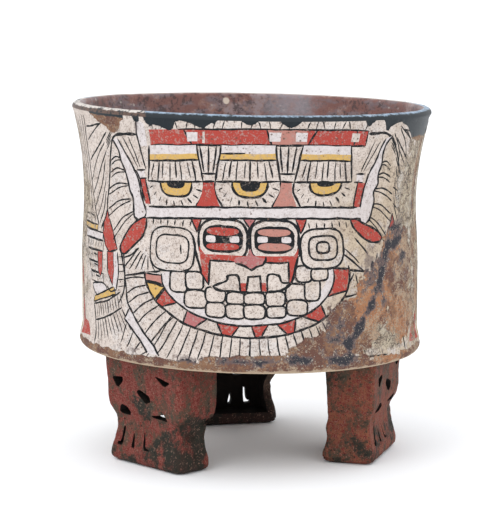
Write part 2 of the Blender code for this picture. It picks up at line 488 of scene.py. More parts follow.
    def paint_eye_panel(self, chart: Chart, middle: float, index: int) -> None:
        """One panel of the headdress: white and yellow brows, lashes and a half-closed eye.

        Args:
            chart: The chart to paint on.
            middle: Where its middle is.
            index: Its number, counted from the left.
        """
        top_reach, low_reach = self.panel_reach
        low = self.bar[0]
        outer_side = {0: -1.0, 2: 1.0}.get(index, 0.0)

        def side(direction: float, h: float) -> Point:
            """A point on the panel's flaring side.

            Args:
                direction: -1 or 1 for the panel's left or right.
                h: The height.

            Returns:
                The point.
            """
            share = min(max((self.band[1] - h) / (self.band[1] - self.lash[1]), 0.0), 1.0)
            flare = (0.55, 1.0, 0.95)[index] if direction == outer_side else 1.0
            return self.level(middle + direction * (top_reach + flare * (low_reach - top_reach) * share), h)

        def field_between(high: float, under: float) -> list[Point]:
            """The four corners of a field across the panel."""
            return [side(-1.0, under), side(1.0, under), side(1.0, high), side(-1.0, high)]

        chart.fill(field_between(self.band[1], self.brow), Pigment.WHITE)
        chart.fill(field_between(self.brow, self.lash[0]), Pigment.YELLOW)
        chart.stroke([side(-1.0, self.lash[0]), side(1.0, self.lash[0])])
        if index == 1:
            chart.stroke([side(-1.0, self.brow), side(-0.1, self.brow)], 0.8)
        lashes = 6 if self.plain else 8
        for lash in range(lashes):
            place = -0.84 + 1.66 * lash / (lashes - 1)
            shift = 0.4 * sin(lash * 2.3 + index)
            high = self.lash[0] if lash % 3 else self.lash[0] - 1.0
            under = self.lash[1] if (lash + index) % 2 else self.lash[1] + 1.5
            chart.stroke([self.level(middle + place * top_reach + shift, high),
                          self.level(middle + place * (low_reach - 0.6) + shift, under)],
                         0.85 if lash % 3 == 1 else 0.58)
        eye = self.level(middle + (1.2, 1.0, 0.6)[index], self.lash[1])
        half, deep = 7.4, (6.3, 6.6, 5.6)[index]

        def cup(reach: float, depth: float) -> np.ndarray:
            """The lower half of a cushion that hangs from the lash line.

            Args:
                reach: Half its width.
                depth: Its height.

            Returns:
                Rows of x and h.
            """
            shape = cushion(eye, (reach, depth), 2.7)
            return np.concatenate([[(eye[0] - reach, eye[1])], shape[shape[:, 1] < eye[1] - 0.01],
                                   [(eye[0] + reach, eye[1])]])

        chart.fill(cup(half, deep), Pigment.YELLOW)
        chart.fill(cup(4.3, (2.9, 4.3, 2.2)[index]), Pigment.BLACK)
        chart.stroke(cup(half, deep), 1.05)
        chart.stroke([side(-1.0, self.lash[1]), side(1.0, self.lash[1])])
        for tick in range(9):
            angle = radians(200.0 + 140.0 * tick / 8.0)
            inner = (eye[0] - 1.0 + 11.0 * cos(angle), eye[1] + 8.2 * sin(angle))
            outer = (eye[0] - 1.0 + 13.2 * cos(angle) + 0.6, eye[1] + 10.7 * sin(angle))
            if not self.plain or tick % 2:
                chart.stroke([inner, outer], 0.86 + 0.26 * (tick % 3 == 0))
        for direction in (-1.0, 1.0):
            corner = side(direction, self.lash[1])
            if direction != outer_side:
                foot = self.level(middle + direction * (low_reach - 3.2), low)
                bulge = self.level(middle + direction * (low_reach + 0.3), 0.5 * (self.lash[1] + low) + 1.2)
                chart.stroke(curved([corner, bulge, foot]))
            chart.stroke([side(direction, self.band[1]), corner])

    def paint_wedge(self, chart: Chart, middle: float) -> None:
        """A bunch of feathers between two panels, with the red hourglass that hangs from it.

        Args:
            chart: The chart to paint on.
            middle: Where its middle is.
        """
        top, low, block_low = self.band[1], 131.6, self.lash[1]
        foot = self.bar[0]
        for offset in (-2.6, 0.1, 2.7):
            chart.stroke([self.level(middle + offset * 1.3, top - 0.3),
                          self.level(middle + offset * 0.75, low + 1.4 * abs(sin(offset)))], 0.8)
        corners = [self.level(middle - 3.3, block_low), self.level(middle + 3.3, block_low),
                   self.level(middle + 3.5, low), self.level(middle - 3.5, low)]
        chart.stroke([corners[3], corners[2]])
        hourglass = np.concatenate([
            curved([self.level(middle - 2.2, block_low), self.level(middle - 2.9, 123.5),
                    self.level(middle - 5.4, foot)]),
            curved([self.level(middle + 5.0, foot), self.level(middle + 2.9, 123.5),
                    self.level(middle + 2.4, block_low)])])
        chart.fill(hourglass, Pigment.RED if middle < 0 else Pigment.PALE_RED)
        chart.stroke([self.level(middle - 3.2, block_low), self.level(middle + 3.2, block_low)])

    def paint_bundle(self, chart: Chart, side: float) -> None:
        """The curved feathers beside the headdress and the thick line that holds them.

        Args:
            chart: The chart to paint on.
            side: 1 on the right, -1 on the left.
        """
        inner = ((60.8, 134.8), (59.0, 129.8), (57.4, 124.0), (55.8, 118.0), (53.8, 113.2))
        outer = ((68.2, 133.4), (69.2, 128.2), (71.8, 120.8), (71.6, 112.2), (67.4, 103.4))
        for (near_x, near_h), (far_x, far_h) in zip(inner, outer):
            for drop, width in ((0.0, 0.72), (3.4, 0.62)):
                end_h = far_h - drop * (0.5 + 0.022 * (135.0 - far_h))
                middle = (0.5 * (near_x + far_x), 0.5 * (near_h + end_h) + 1.5 - 0.25 * drop)
                chart.stroke(curved([(side * near_x, near_h - 0.18 * drop), (side * middle[0], middle[1]),
                                     (side * far_x, end_h)]), width)
        binding = [(50.0, 145.8), (56.0, 145.6), (61.6, 144.9), (65.0, 142.6), (67.2, 138.0), (68.8, 133.0),
                   (70.6, 124.0), (72.0, 116.0), (73.4, 109.6), (77.2, 103.2)]
        if side > 0:
            binding = [(50.7, 147.9), (59.2, 148.0), (65.5, 145.4), (71.0, 139.2), (77.4, 130.0)]
            for feather in (((66.4, 147.6), (73.0, 139.0), (76.0, 126.0)),
                            ((70.0, 149.6), (79.0, 140.0), (83.0, 127.0)),
                            ((74.6, 149.0), (84.0, 141.0), (90.0, 129.0)),
                            ((71.6, 124.0), (79.0, 120.0), (84.0, 111.0)),
                            ((72.6, 117.0), (78.0, 113.0), (82.0, 105.0))):
                chart.stroke(curved(feather), 0.62)
            chart.fill(np.concatenate([curved([(90.4, 146.6), (86.0, 140.0), (80.6, 130.0),
                                               (78.6, 118.0)])[::-1],
                                       curved([(92.6, 145.0), (88.6, 137.0), (83.4, 128.0),
                                               (80.8, 117.0)])]),
                       Pigment.WHITE)
        line = curved(mirror(side, binding))
        chart.stroke(line, 1.0)
        chart.stroke(line[:max(len(line) // 4, 2)], 1.35)

    def paint_flank(self, chart: Chart, side: float) -> None:
        """The headdress's edge: feather bunch, red strip, white curved band and a leaf.

        Args:
            chart: The chart to paint on.
            side: 1 on the right, -1 on the left.
        """
        for top, low in ((58.4, 50.6), (55.0, 49.2)):
            chart.stroke(mirror(side, [(top, 144.4), (low + 0.6, 131.8)]), 0.65)
        chart.fill(mirror(side, [(47.4, 127.4), (50.9, 127.4), (51.6, 130.7), (47.7, 130.9)]), Pigment.WHITE)
        chart.stroke(mirror(side, [(47.2, 130.9), (51.8, 130.6)]), 0.9)
        chart.stroke(mirror(side, [(46.4, 127.3), (51.0, 127.1)]), 0.9)
        strip = [(47.3, 127.0), (50.3, 126.8), (47.5, 116.5), (45.0, 116.5)]
        outer = [(64.8, 142.6), (62.0, 138.0), (61.3, 134.0), (59.0, 130.0), (57.7, 126.4), (56.4, 121.6),
                 (54.6, 118.6), (54.4, 113.6), (53.6, 110.6), (51.0, 109.6)]
        inner = [(48.6, 110.4), (47.0, 112.8), (48.6, 116.6), (50.0, 121.6), (51.4, 126.6), (54.2, 132.4),
                 (57.6, 137.2), (61.4, 143.4)]
        leaf = [(47.0, 110.6), (51.6, 109.4), (56.6, 105.4), (60.6, 100.0), (62.2, 96.0), (59.2, 94.2),
                (53.4, 98.4), (47.8, 104.4)]
        if side > 0:
            strip = [(48.4, 127.0), (53.0, 126.8), (51.4, 116.5), (47.0, 116.5)]
            outer = [(65.6, 146.6), (62.6, 143.6), (61.2, 138.4), (61.4, 134.1), (60.0, 130.0),
                     (60.6, 126.4), (58.2, 122.6), (59.0, 119.2), (57.9, 115.6), (56.2, 110.8),
                     (54.0, 109.4)]
            inner = [(51.2, 110.6), (50.2, 113.4), (51.0, 118.0), (51.8, 123.1), (53.0, 127.3),
                     (54.9, 131.6), (57.1, 135.4), (59.0, 140.7), (61.4, 145.6)]
            leaf = [(45.6, 112.8), (48.6, 111.8), (52.9, 109.4), (58.9, 106.9), (63.9, 103.4), (62.6, 101.3),
                    (56.8, 101.6), (51.0, 104.6), (46.7, 108.9)]
        chart.fill(mirror(side, strip), Pigment.RED)
        chart.stroke(mirror(side, [(strip[0][0] - 0.1, 127.0), (strip[3][0] - 0.2, 116.5)]), 0.8)
        chart.stroke(mirror(side, [(52.4 if side < 0 else 53.6, 130.6), (strip[1][0] + 0.1, 127.0),
                          (strip[2][0] + 0.4, 117.6)]), 0.9)
        outer, inner = curved(mirror(side, outer)), curved(mirror(side, inner))
        chart.fill(np.concatenate([outer, inner]), Pigment.WHITE)
        chart.stroke(outer, 1.1)
        chart.stroke(inner, 0.95)
        leaf = curved(mirror(side, leaf), closed=True)
        chart.disc(leaf, Pigment.RED)

    def paint_jaw(self, chart: Chart, side: float) -> None:
        """Feathers between the leaf, the ear disc and the collar, and the white ribbon below them.

        Args:
            chart: The chart to paint on.
            side: 1 on the right, -1 on the left.
        """
        for index in range(6):
            x = side * (25.0 + 3.6 * index)
            chart.stroke([(x, 111.0), (x + side * 0.4, 108.8 - 0.5 * (index % 2))], 0.7)
        if side > 0:
            for line in (((41.7, 99.9), (49.5, 93.1)), ((41.1, 97.4), (52.2, 89.5)),
                         ((47.4, 104.2), (54.6, 96.6)),
                         ((40.0, 89.9), (42.5, 81.6), (46.7, 89.0)), ((47.6, 88.4), (49.4, 82.0))):
                chart.stroke(list(line), 0.8)
            chart.stroke(curved([(33.6, 92.4), (41.0, 91.2), (46.0, 90.2), (53.4, 89.2)]), 1.0)
            chart.stroke([(32.8, 78.4), (48.9, 79.9)], 0.9)
            for line in (((56.0, 60.7), (68.2, 60.2)), ((57.3, 59.7), (56.2, 52.6)),
                         ((62.4, 59.6), (63.4, 53.0)),
                         ((48.3, 53.0), (66.7, 52.2)), ((52.5, 58.5), (52.9, 53.4))):
                chart.stroke(list(line), 0.7)
            return
        count = 4 if self.plain else 6
        for index in range(count):
            share = index / (count - 1)
            chart.stroke([(side * (59.4 - 17.5 * share), 88.2 + 0.6 * share),
                          (side * (50.6 - 6.4 * share), 97.4 - 4.4 * share)], 0.75)
        chart.stroke(curved(mirror(side, [(60.2, 92.4), (55.0, 94.2), (50.4, 97.8)])), 0.75)
        chart.stroke(mirror(side, [(59.0, 85.0), (39.0, 89.0)]), 1.0)
        edge = curved(mirror(side, [(62.0, 97.0), (60.2, 90.4), (58.7, 84.6), (57.6, 75.0),
                       (55.6, 71.4), (50.4, 64.4), (44.2, 58.0), (39.4, 52.6)]))
        low, wide, deep = self.collar
        for index in range(7):
            share = (index + 0.35) / 7
            angle = radians(184.0 + 46.0 * share)
            start = (-side * wide * cos(angle), low + deep * sin(angle))
            end = edge[min(int(len(edge) * (0.26 + 0.66 * share)), len(edge) - 1)]
            middle = (0.5 * (start[0] + end[0]), 0.5 * (start[1] + end[1]) + 0.7)
            chart.stroke(curved([start, middle, tuple(end)]), 0.7)
        ribbon = [(59.2, 66.4), (54.2, 62.0), (50.4, 58.6), (45.6, 53.4)]
        field_edge = edge[np.abs(edge[:, 1] - 61.0) < 11.0]
        chart.fill(np.concatenate([field_edge, mirror(side, ribbon[::-1])]), Pigment.WHITE)
        chart.stroke(edge, 1.0)
        chart.stroke(curved(mirror(side, ribbon)), 1.0)
        chart.stroke(mirror(side, [(55.8, 71.6), (59.2, 66.4)]), 0.8)
        for index in range(4):
            x = 57.2 - 4.2 * index
            chart.stroke([(side * (x + 0.8), 64.4 - 3.4 * index), (side * (x + 4.2), 55.6 - 1.2 * index)],
                         0.7)

    def paint_collar(self, chart: Chart) -> None:
        """The collar of red, pink and cream triangles, and the white crescent inside it.

        Args:
            chart: The chart to paint on.
        """
        low, wide, deep = self.collar
        inner_wide, inner_deep = self.crescent

        def on(reach: Point, angle: float) -> Point:
            """A point of one of the collar's two arcs, which are narrower on the right."""
            across = reach[0] * cos(radians(angle))
            return across * (self.right_share if across > 0.0 else 1.0), low + reach[1] * sin(radians(angle))

        turns = np.arange(180.0, 370.1, 5.0)
        outer = np.array([on((wide, deep), turn) for turn in turns])
        inner = np.array([on((inner_wide, inner_deep), turn) for turn in turns])
        chart.fill(np.concatenate([outer, inner[::-1]]), Pigment.STUCCO)
        for index, (inner_start, inner_end, outer_start, outer_end, pigment) in enumerate(self.teeth):
            corners = [on((inner_wide, inner_deep), inner_start), on((inner_wide, inner_deep), inner_end),
                       on((wide, deep), outer_end), on((wide, deep), outer_start)]
            if index < 3 or index % 2 == 0 or not self.plain:
                chart.fill(corners, pigment)
            chart.stroke([corners[0], corners[3]], 0.9)
            chart.stroke([corners[1], corners[2]], 0.9)
        lifted = np.array([on((inner_wide - 5.0, inner_deep - 2.0), turn) for turn in turns]) + (0.0, 1.6)
        chart.fill(np.concatenate([inner, lifted[::-1]]), Pigment.WHITE)
        chart.stroke(outer, 1.05)
        chart.stroke(inner, 0.9)

    def paint_beads(self, chart: Chart) -> None:
        """Two rows of rounded blocks below the mouth, rising as beads to the ear discs.

        Args:
            chart: The chart to paint on.
        """
        ground = ellipse((0.0, 90.0), (33.5, 19.5), 180.0, 360.0)
        chart.fill(np.concatenate([ground, [(20.0, 94.0), (-20.0, 94.0)]]), Pigment.STUCCO)
        for x, h, wide, deep in self.beads:
            chart.disc(cushion((x, h), (wide, deep), 3.6), Pigment.STUCCO, 0.75 if self.plain else 0.9)

    def paint_ear_disc(self, chart: Chart, side: float) -> None:
        """A rounded square ear disc with its inner rings.

        Args:
            chart: The chart to paint on.
            side: 1 on the right, -1 on the left.
        """
        centre = (side * self.ear[0] - (1.3 if side < 0 else 1.2), self.ear[1] - (0.4 if side < 0 else -1.2))
        reach = self.ear_reach if side < 0 else (self.ear_reach[0] - 0.5, self.ear_reach[1] - 0.8)
        line = 0.8 if side < 0 else 1.0
        chart.disc(cushion(centre, reach, 3.2), Pigment.STUCCO, line)
        ring = cushion((centre[0] + 0.3, centre[1] + 0.2), (7.6, 5.9) if side < 0 else (6.6, 5.0), 3.4)
        chart.stroke(np.concatenate([ring, ring[1:2]]), line)
        if side > 0:
            eye = cushion((centre[0] + 0.1, centre[1] + 0.4), (3.0, 2.3), 3.0)
            chart.stroke(np.concatenate([eye, eye[1:2]]), 1.0)
        else:
            chart.stroke([(centre[0] + 4.2, centre[1] + 2.4), (centre[0] + 4.4, centre[1] - 1.8)], 0.95)

    def paint_goggle(self, chart: Chart, side: float) -> None:
        """A rounded goggle with red lids and a dark band between two white squares.

        Args:
            chart: The chart to paint on.
            side: 1 on the right, -1 on the left.
        """
        offset, wide, deep = self.goggle
        centre = (side * offset - 0.5, self.goggle_height)
        gap = [(side * 20.0 - 0.5, 112.6), (side * 24.8 - 0.5, 112.6), (side * 22.0 - 0.5, 106.4)]
        chart.block(gap, Pigment.RED, 0.8)
        chart.disc(cushion(centre, (wide, deep), 3.0), Pigment.STUCCO, 1.15)
        eye = (centre[0], centre[1] + 0.3)
        chart.disc(cushion(eye, (8.0, 5.2), 3.0), Pigment.BLACK, 1.1)
        for direction in (1.0, -1.0):
            lid = cushion((eye[0], eye[1] + direction * 3.05), (6.9, 1.55), 2.3)
            chart.fill(lid[:-1], Pigment.RED if side < 0 else Pigment.PALE_RED)
            chart.fill(cushion((eye[0] + direction * 5.0, eye[1]), (2.1, 1.35), 4.0)[:-1], Pigment.WHITE)

    def paint_bar(self, chart: Chart) -> None:
        """The long white bar across the brow and the pink gap under its middle.

        Args:
            chart: The chart to paint on.
        """
        top, low = self.bar
        left, right = self.bar_reach
        chart.block([(-3.0, low), (2.6, low), (0.0, 108.4)], Pigment.PINK, 0.8)
        chart.stroke([(-0.2, 108.8), (-0.1, 99.8)], 1.5)
        chart.fill(self.row(left, right, low) + self.row(right, left, top), Pigment.WHITE)
        chart.stroke(self.row(left, right, low), 0.95)
        chart.stroke(self.row(left + 1.4, right - 2.0, top), 0.95)

    def paint_mouth(self, chart: Chart) -> None:
        """The red frame, upper lip, fangs and front teeth, and the pink nose.

        Args:
            chart: The chart to paint on.
        """
        frame_top, lip_top, lip_low = 97.4, 94.7, 88.9
        chart.fill([(-21.6, 100.6), (-18.8, frame_top), (-2.0, frame_top)]
                   + [(7.0, frame_top), (18.4, frame_top),
                    (20.4, 100.4), (19.0, 88.0), (16.6, 85.6), (16.0, lip_top), (-16.4, lip_top),
                    (-17.2, 84.6), (-20.0, 89.0)], Pigment.RED)
        chart.fill([(-16.8, lip_top), (-6.5, lip_top), (0.4, 91.6), (6.6, lip_top), (16.2, lip_top),
                    (16.4, 86.4), (13.4, 83.6), (-14.4, 82.4), (-17.0, 84.8)], Pigment.STUCCO)
        jaw = curved([(-15.6, 84.2), (-13.0, 82.7), (-7.0, 82.2), (0.0, 82.0), (7.6, 82.3), (13.8, 83.4),
                      (17.4, 85.8), (19.0, 91.6), (20.2, 97.4)])
        for x in (-2.6, 5.7):
            chart.fill([(x - 1.1, 82.3), (x + 1.1, 82.3), (x + 1.0, 86.0), (x - 1.0, 86.0)], Pigment.RED)
        left_tooth = [(-15.6, 84.2), (-9.6, 86.8), (-9.0, lip_low), (-4.8, lip_low), (-3.8, 82.4)]
        right_tooth = [(7.2, 82.6), (7.8, lip_low + 0.2), (12.0, lip_low + 0.4), (13.6, 86.4), (16.8, 86.0)]
        chart.stroke([(-1.4, 82.4), (-0.8, lip_low - 0.2), (4.2, lip_low), (4.6, 82.4)], 1.0)
        chart.stroke(curved(left_tooth, step=0.6), 1.0)
        chart.stroke(curved(right_tooth, step=0.6), 1.0)
        chart.stroke(jaw, 1.1)
        chart.stroke([(-17.2, 84.6), (-16.6, lip_top), (-6.6, lip_top)], 0.95)
        chart.stroke([(6.8, lip_top), (16.2, lip_top), (16.4, 86.4)], 0.95)
        chart.stroke([(-20.2, 89.4), (-17.2, 84.6)], 0.8)
        chart.stroke(curved([(-24.2, 105.0), (-22.8, 97.6), (-20.2, 89.4)]), 1.1)
        chart.stroke(curved([(21.4, 105.0), (20.6, 97.0)]), 1.0)
        nose = curved([(0.0, 100.4), (1.8, 97.2), (6.8, 96.2), (5.6, 93.6), (2.8, 92.7), (0.6, 91.4),
                       (-1.8, 92.8), (-6.4, 94.2), (-6.0, 96.6), (-1.6, 97.2)], closed=True)
        chart.fill(nose[:-1], Pigment.PINK)
        chart.stroke(curved([(6.8, 96.2), (5.6, 93.6), (2.8, 92.7), (0.6, 91.4), (-1.8, 92.8),
                             (-6.4, 94.2)]), 0.95)
        chart.stroke([(6.9, 97.2), (6.9, 94.6)], 0.9)


@dataclass
class SideFigure:
    """A robed figure in profile, kept to its broad fields: blocks, ribbons, a red pendant and long feathers.

    It is drawn about its own middle, with its fields on the side nearer to the mask.
    """

    plain: bool = False
    spine: tuple[Point, ...] = ((30.7, 151.6), (28.0, 137.0), (29.6, 123.4), (33.2, 112.6), (38.4, 104.2))
    column: tuple[tuple[float, float, float, float, Pigment], ...] = (
        (113.6, 108.2, 17.6, 30.6, Pigment.STUCCO), (108.0, 104.6, 18.8, 33.8, Pigment.STUCCO),
        (104.4, 102.0, 19.8, 37.4, Pigment.YELLOW), (101.6, 98.2, 22.6, 42.4, Pigment.WHITE),
        (97.8, 93.4, 26.2, 42.8, Pigment.STUCCO), (93.0, 88.4, 27.4, 39.0, Pigment.STUCCO),
        (88.0, 84.0, 29.6, 38.6, Pigment.STUCCO), (83.6, 79.6, 31.4, 43.6, Pigment.STUCCO),
    )

    def paint(self, chart: Chart) -> None:
        """Paint the figure, feathers first.

        Args:
            chart: The chart to paint on.
        """
        for side in (-1.0, 1.0):
            self.paint_long_feathers(chart, side)
            self.paint_skirt(chart, side)
            if side > 0 or not self.plain:
                self.paint_column(chart, side)
                self.paint_pendants(chart, side)
        self.paint_core(chart)

    def paint_long_feathers(self, chart: Chart, side: float) -> None:
        """Feathers that hang from the rim on both sides of a curved spine.

        Args:
            chart: The chart to paint on.
            side: 1 on the right, -1 on the left.
        """
        spine = curved(mirror(side, self.spine))
        chart.stroke(spine, 0.95)
        for index in range(6):
            shift = 3.0 + 2.9 * index
            line = [(side * (x - shift * (1.0 + 0.10 * index)), h - 0.8 * index) for x, h in self.spine[:4]]
            chart.stroke(curved(line), 0.75 if index % 3 == 0 else chart.fine_line)
        ends = (((48.0, 150.4), (40.0, 146.0), (30.4, 140.6)), ((45.6, 149.0), (36.8, 147.4), (31.2, 146.6)),
                ((49.0, 145.6), (41.0, 139.0), (29.4, 131.4)), ((46.4, 141.0), (37.8, 133.2), (30.0, 123.0)),
                ((46.6, 137.0), (40.0, 128.4), (31.6, 117.4)), ((45.2, 133.0), (40.8, 122.4), (34.2, 112.0)),
                ((44.8, 126.0), (41.6, 116.6), (36.4, 107.4)), ((44.6, 119.6), (42.6, 112.4), (39.0, 105.0)))
        for index, line in enumerate(ends):
            chart.stroke(curved(mirror(side, line)), 0.78 if index % 3 else 0.62)
        for index in range(4):
            start = (side * (52.8 - 0.3 * index), 146.6 - 1.4 * index)
            chart.stroke([start, (start[0] - side * 4.6, start[1] - 4.6)], 0.6)

    def paint_column(self, chart: Chart, side: float) -> None:
        """A column of cream, yellow, white and striped blocks.

        Args:
            chart: The chart to paint on.
            side: 1 on the right, -1 on the left.
        """
        for index, (high, low, inner, outer, pigment) in enumerate(self.column):
            chart.block([(side * inner, low), (side * outer, low), (side * outer, high),
                         (side * (inner - 0.6), high)], pigment, 0.7)
            if index > 3:
                ticks = 6
                for tick in range(ticks):
                    x = inner + (outer - inner) * (tick + 0.5) / ticks
                    chart.stroke([(side * x, high - 0.5), (side * (x - 0.7), low + 1.2)], 0.5)
        chart.disc(curved(mirror(side, [(32.8, 77.6), (36.4, 79.2), (43.6, 79.4), (46.0, 77.2),
                           (42.0, 74.6), (36.0, 74.0)]), closed=True), Pigment.WHITE, 0.75)
        chart.block(mirror(side, [(33.4, 70.2), (35.0, 73.0), (51.6, 79.0), (52.6, 76.0)]),
                    Pigment.YELLOW, 0.75)
        for x, h in ((33.6, 91.6), (34.2, 87.2), (36.0, 82.4)):
            chart.stroke([(side * x, h), (side * (x + 4.2), h - 0.4)], 0.9)

    def paint_pendants(self, chart: Chart, side: float) -> None:
        """The long red wedge with the ribbons that hang below it.

        Args:
            chart: The chart to paint on.
            side: 1 on the right, -1 on the left.
        """
        chart.block(mirror(side, ((45.3, 112.6), (47.0, 108.3), (50.6, 102.6), (53.9, 95.8),
                                                (47.9, 93.8), (44.4, 96.4), (42.2, 101.7), (42.9, 106.2))),
                    Pigment.RED, 0.85)
        chart.block(mirror(side, ((46.4, 94.0), (51.2, 94.2), (51.9, 86.6), (50.6, 79.2),
                                                (47.2, 84.6))), Pigment.RED, 0.75)
        chart.fill(mirror(side, ((51.2, 94.2), (54.0, 94.6), (54.8, 86.0), (53.4, 78.2),
                                               (50.6, 79.2), (51.9, 86.6))), Pigment.WHITE)
        chart.stroke(curved(mirror(side, [(54.0, 94.6), (54.9, 86.0), (53.2, 77.8)])), 0.8)
        chart.block(mirror(side, ((38.3, 93.0), (42.4, 93.2), (42.4, 85.2), (40.6, 82.2),
                                                (38.6, 84.4))), Pigment.RED, 0.65)
        chart.stroke(curved(mirror(side, [(57.4, 96.6), (59.0, 87.0), (58.2, 78.4), (55.0, 72.6)])), 0.8)
        for index in range(5):
            high = 92.4 - 3.2 * index
            chart.stroke([(side * 54.8, high), (side * 58.4, high + 0.9 - 0.5 * (index % 2))], 0.6)
        chart.stroke(curved(mirror(side, [(46.0, 79.0), (49.0, 76.8), (53.4, 78.0)])), 0.75)

    def paint_skirt(self, chart: Chart, side: float) -> None:
        """Two tiers of feathers that fan out under the figure.

        Args:
            chart: The chart to paint on.
            side: 1 on the right, -1 on the left.
        """
        for tier, (near, far, near_low, far_low, count) in enumerate((
                ((34.6, 69.2), (55.8, 77.0), (35.4, 62.2), (57.4, 70.6), 12),
                ((35.4, 62.2), (57.4, 70.6), (36.4, 52.4), (62.6, 61.4), 11))):
            for index in range(count):
                share = index / (count - 1)
                start = (near[0] + (far[0] - near[0]) * share, near[1] + (far[1] - near[1]) * share - 0.5)
                end = (near_low[0] + (far_low[0] - near_low[0]) * share,
                       near_low[1] + (far_low[1] - near_low[1]) * share + 0.8 * (index % 2) + 0.3)
                chart.stroke([(side * start[0], start[1]), (side * end[0], end[1])],
                             0.55 + 0.25 * (index % 3 == tier))
        chart.stroke(curved(mirror(side, [(35.2, 62.4), (46.0, 65.4), (57.4, 70.8)])), 0.8)
        chart.stroke(curved(mirror(side, [(34.2, 69.6), (46.0, 72.4), (56.0, 77.4)])), 0.8)
        chart.stroke(mirror(side, [(33.8, 70.0), (35.2, 62.4), (36.0, 52.0)]), 0.8)

    def paint_core(self, chart: Chart) -> None:
        """The figure's middle: a striped staff with red, yellow and white bands, and a plain head block.

        Args:
            chart: The chart to paint on.
        """
        for x, pigment in ((-14.5, Pigment.RED), (-9.8, Pigment.YELLOW), (9.4, Pigment.YELLOW),
                           (13.6, Pigment.RED)):
            drift = 0.42 * x if pigment is Pigment.RED else 0.0
            for edge in (-1.7, 1.5):
                chart.stroke(curved([(x + edge + drift, 55.0), (x + edge + 0.4 * drift, 78.0),
                                     (x + edge, 96.0), (x + edge + 0.4, 112.0)]), 0.6)
            chart.fill(curved([(x - 1.5 + drift, 55.0), (x - 1.5 + 0.4 * drift, 78.0), (x - 1.5, 96.0),
                               (x - 1.1, 112.0), (x + 1.6, 112.0), (x + 1.2, 96.0),
                               (x + 1.2 + 0.4 * drift, 78.0),
                               (x + 1.2 + drift, 55.0)]), pigment)
        chart.fill([(-31.0, 54.6), (-14.0, 53.6), (-17.0, 61.0), (-27.0, 60.4)], Pigment.RED)
        chart.fill([(13.0, 53.6), (30.0, 54.6), (26.0, 60.4), (17.0, 61.0)], Pigment.RED)
        for index in range(8):
            high = 108.0 - 6.6 * index
            chart.block([(-7.4, high), (7.4, high), (7.0, high - 4.2), (-7.0, high - 4.2)],
                        (Pigment.STUCCO, Pigment.WHITE, Pigment.STUCCO, Pigment.YELLOW)[index % 4], 0.7)
        chart.disc(cushion((0.0, 126.0), (9.6, 8.4), 3.4), Pigment.STUCCO, 0.95)
        chart.disc(cushion((-1.0, 126.5), (6.0, 4.4), 3.0), Pigment.RED, 0.9)
        chart.disc(cushion((-1.0, 126.5), (3.0, 2.2), 3.0), Pigment.WHITE, 0.8)
        chart.block([(-10.0, 148.6), (10.0, 148.6), (8.6, 137.0), (-8.6, 137.0)], Pigment.WHITE, 0.8)
        for index in range(5):
            x = -7.2 + 3.6 * index
            chart.stroke([(x, 148.2), (0.85 * x, 137.4)], 0.6)


@dataclass(frozen=True)
class WornPatch:
    """A worn or stained place: an ellipse on the chart, in millimetres and degrees."""

    x: float
    h: float
    reach_x: float
    reach_h: float
    turn: float = 0.0
    strength: float = 1.0

    def depth(self, places: np.ndarray) -> np.ndarray:
        """How deep inside the patch each place lies: 1 at its middle, 0 at its edge, less outside.

        Args:
            places: Rows of x and h on the chart.

        Returns:
            One depth for each place.
        """
        dx, dh = (places[:, 0] - self.x + 0.5 * GIRTH) % GIRTH - 0.5 * GIRTH, places[:, 1] - self.h
        turn = radians(self.turn)
        across = (dx * cos(turn) + dh * sin(turn)) / self.reach_x
        along = (-dx * sin(turn) + dh * cos(turn)) / self.reach_h
        inside = 1.0 - np.sqrt(across ** 2 + along ** 2)
        return np.maximum(np.where(inside > 0.0, self.strength * inside, inside), -1.0)


def patches(*rows: tuple[float, ...]) -> tuple[WornPatch, ...]:
    """Worn patches from rows of their values."""
    return tuple(WornPatch(*row) for row in rows)


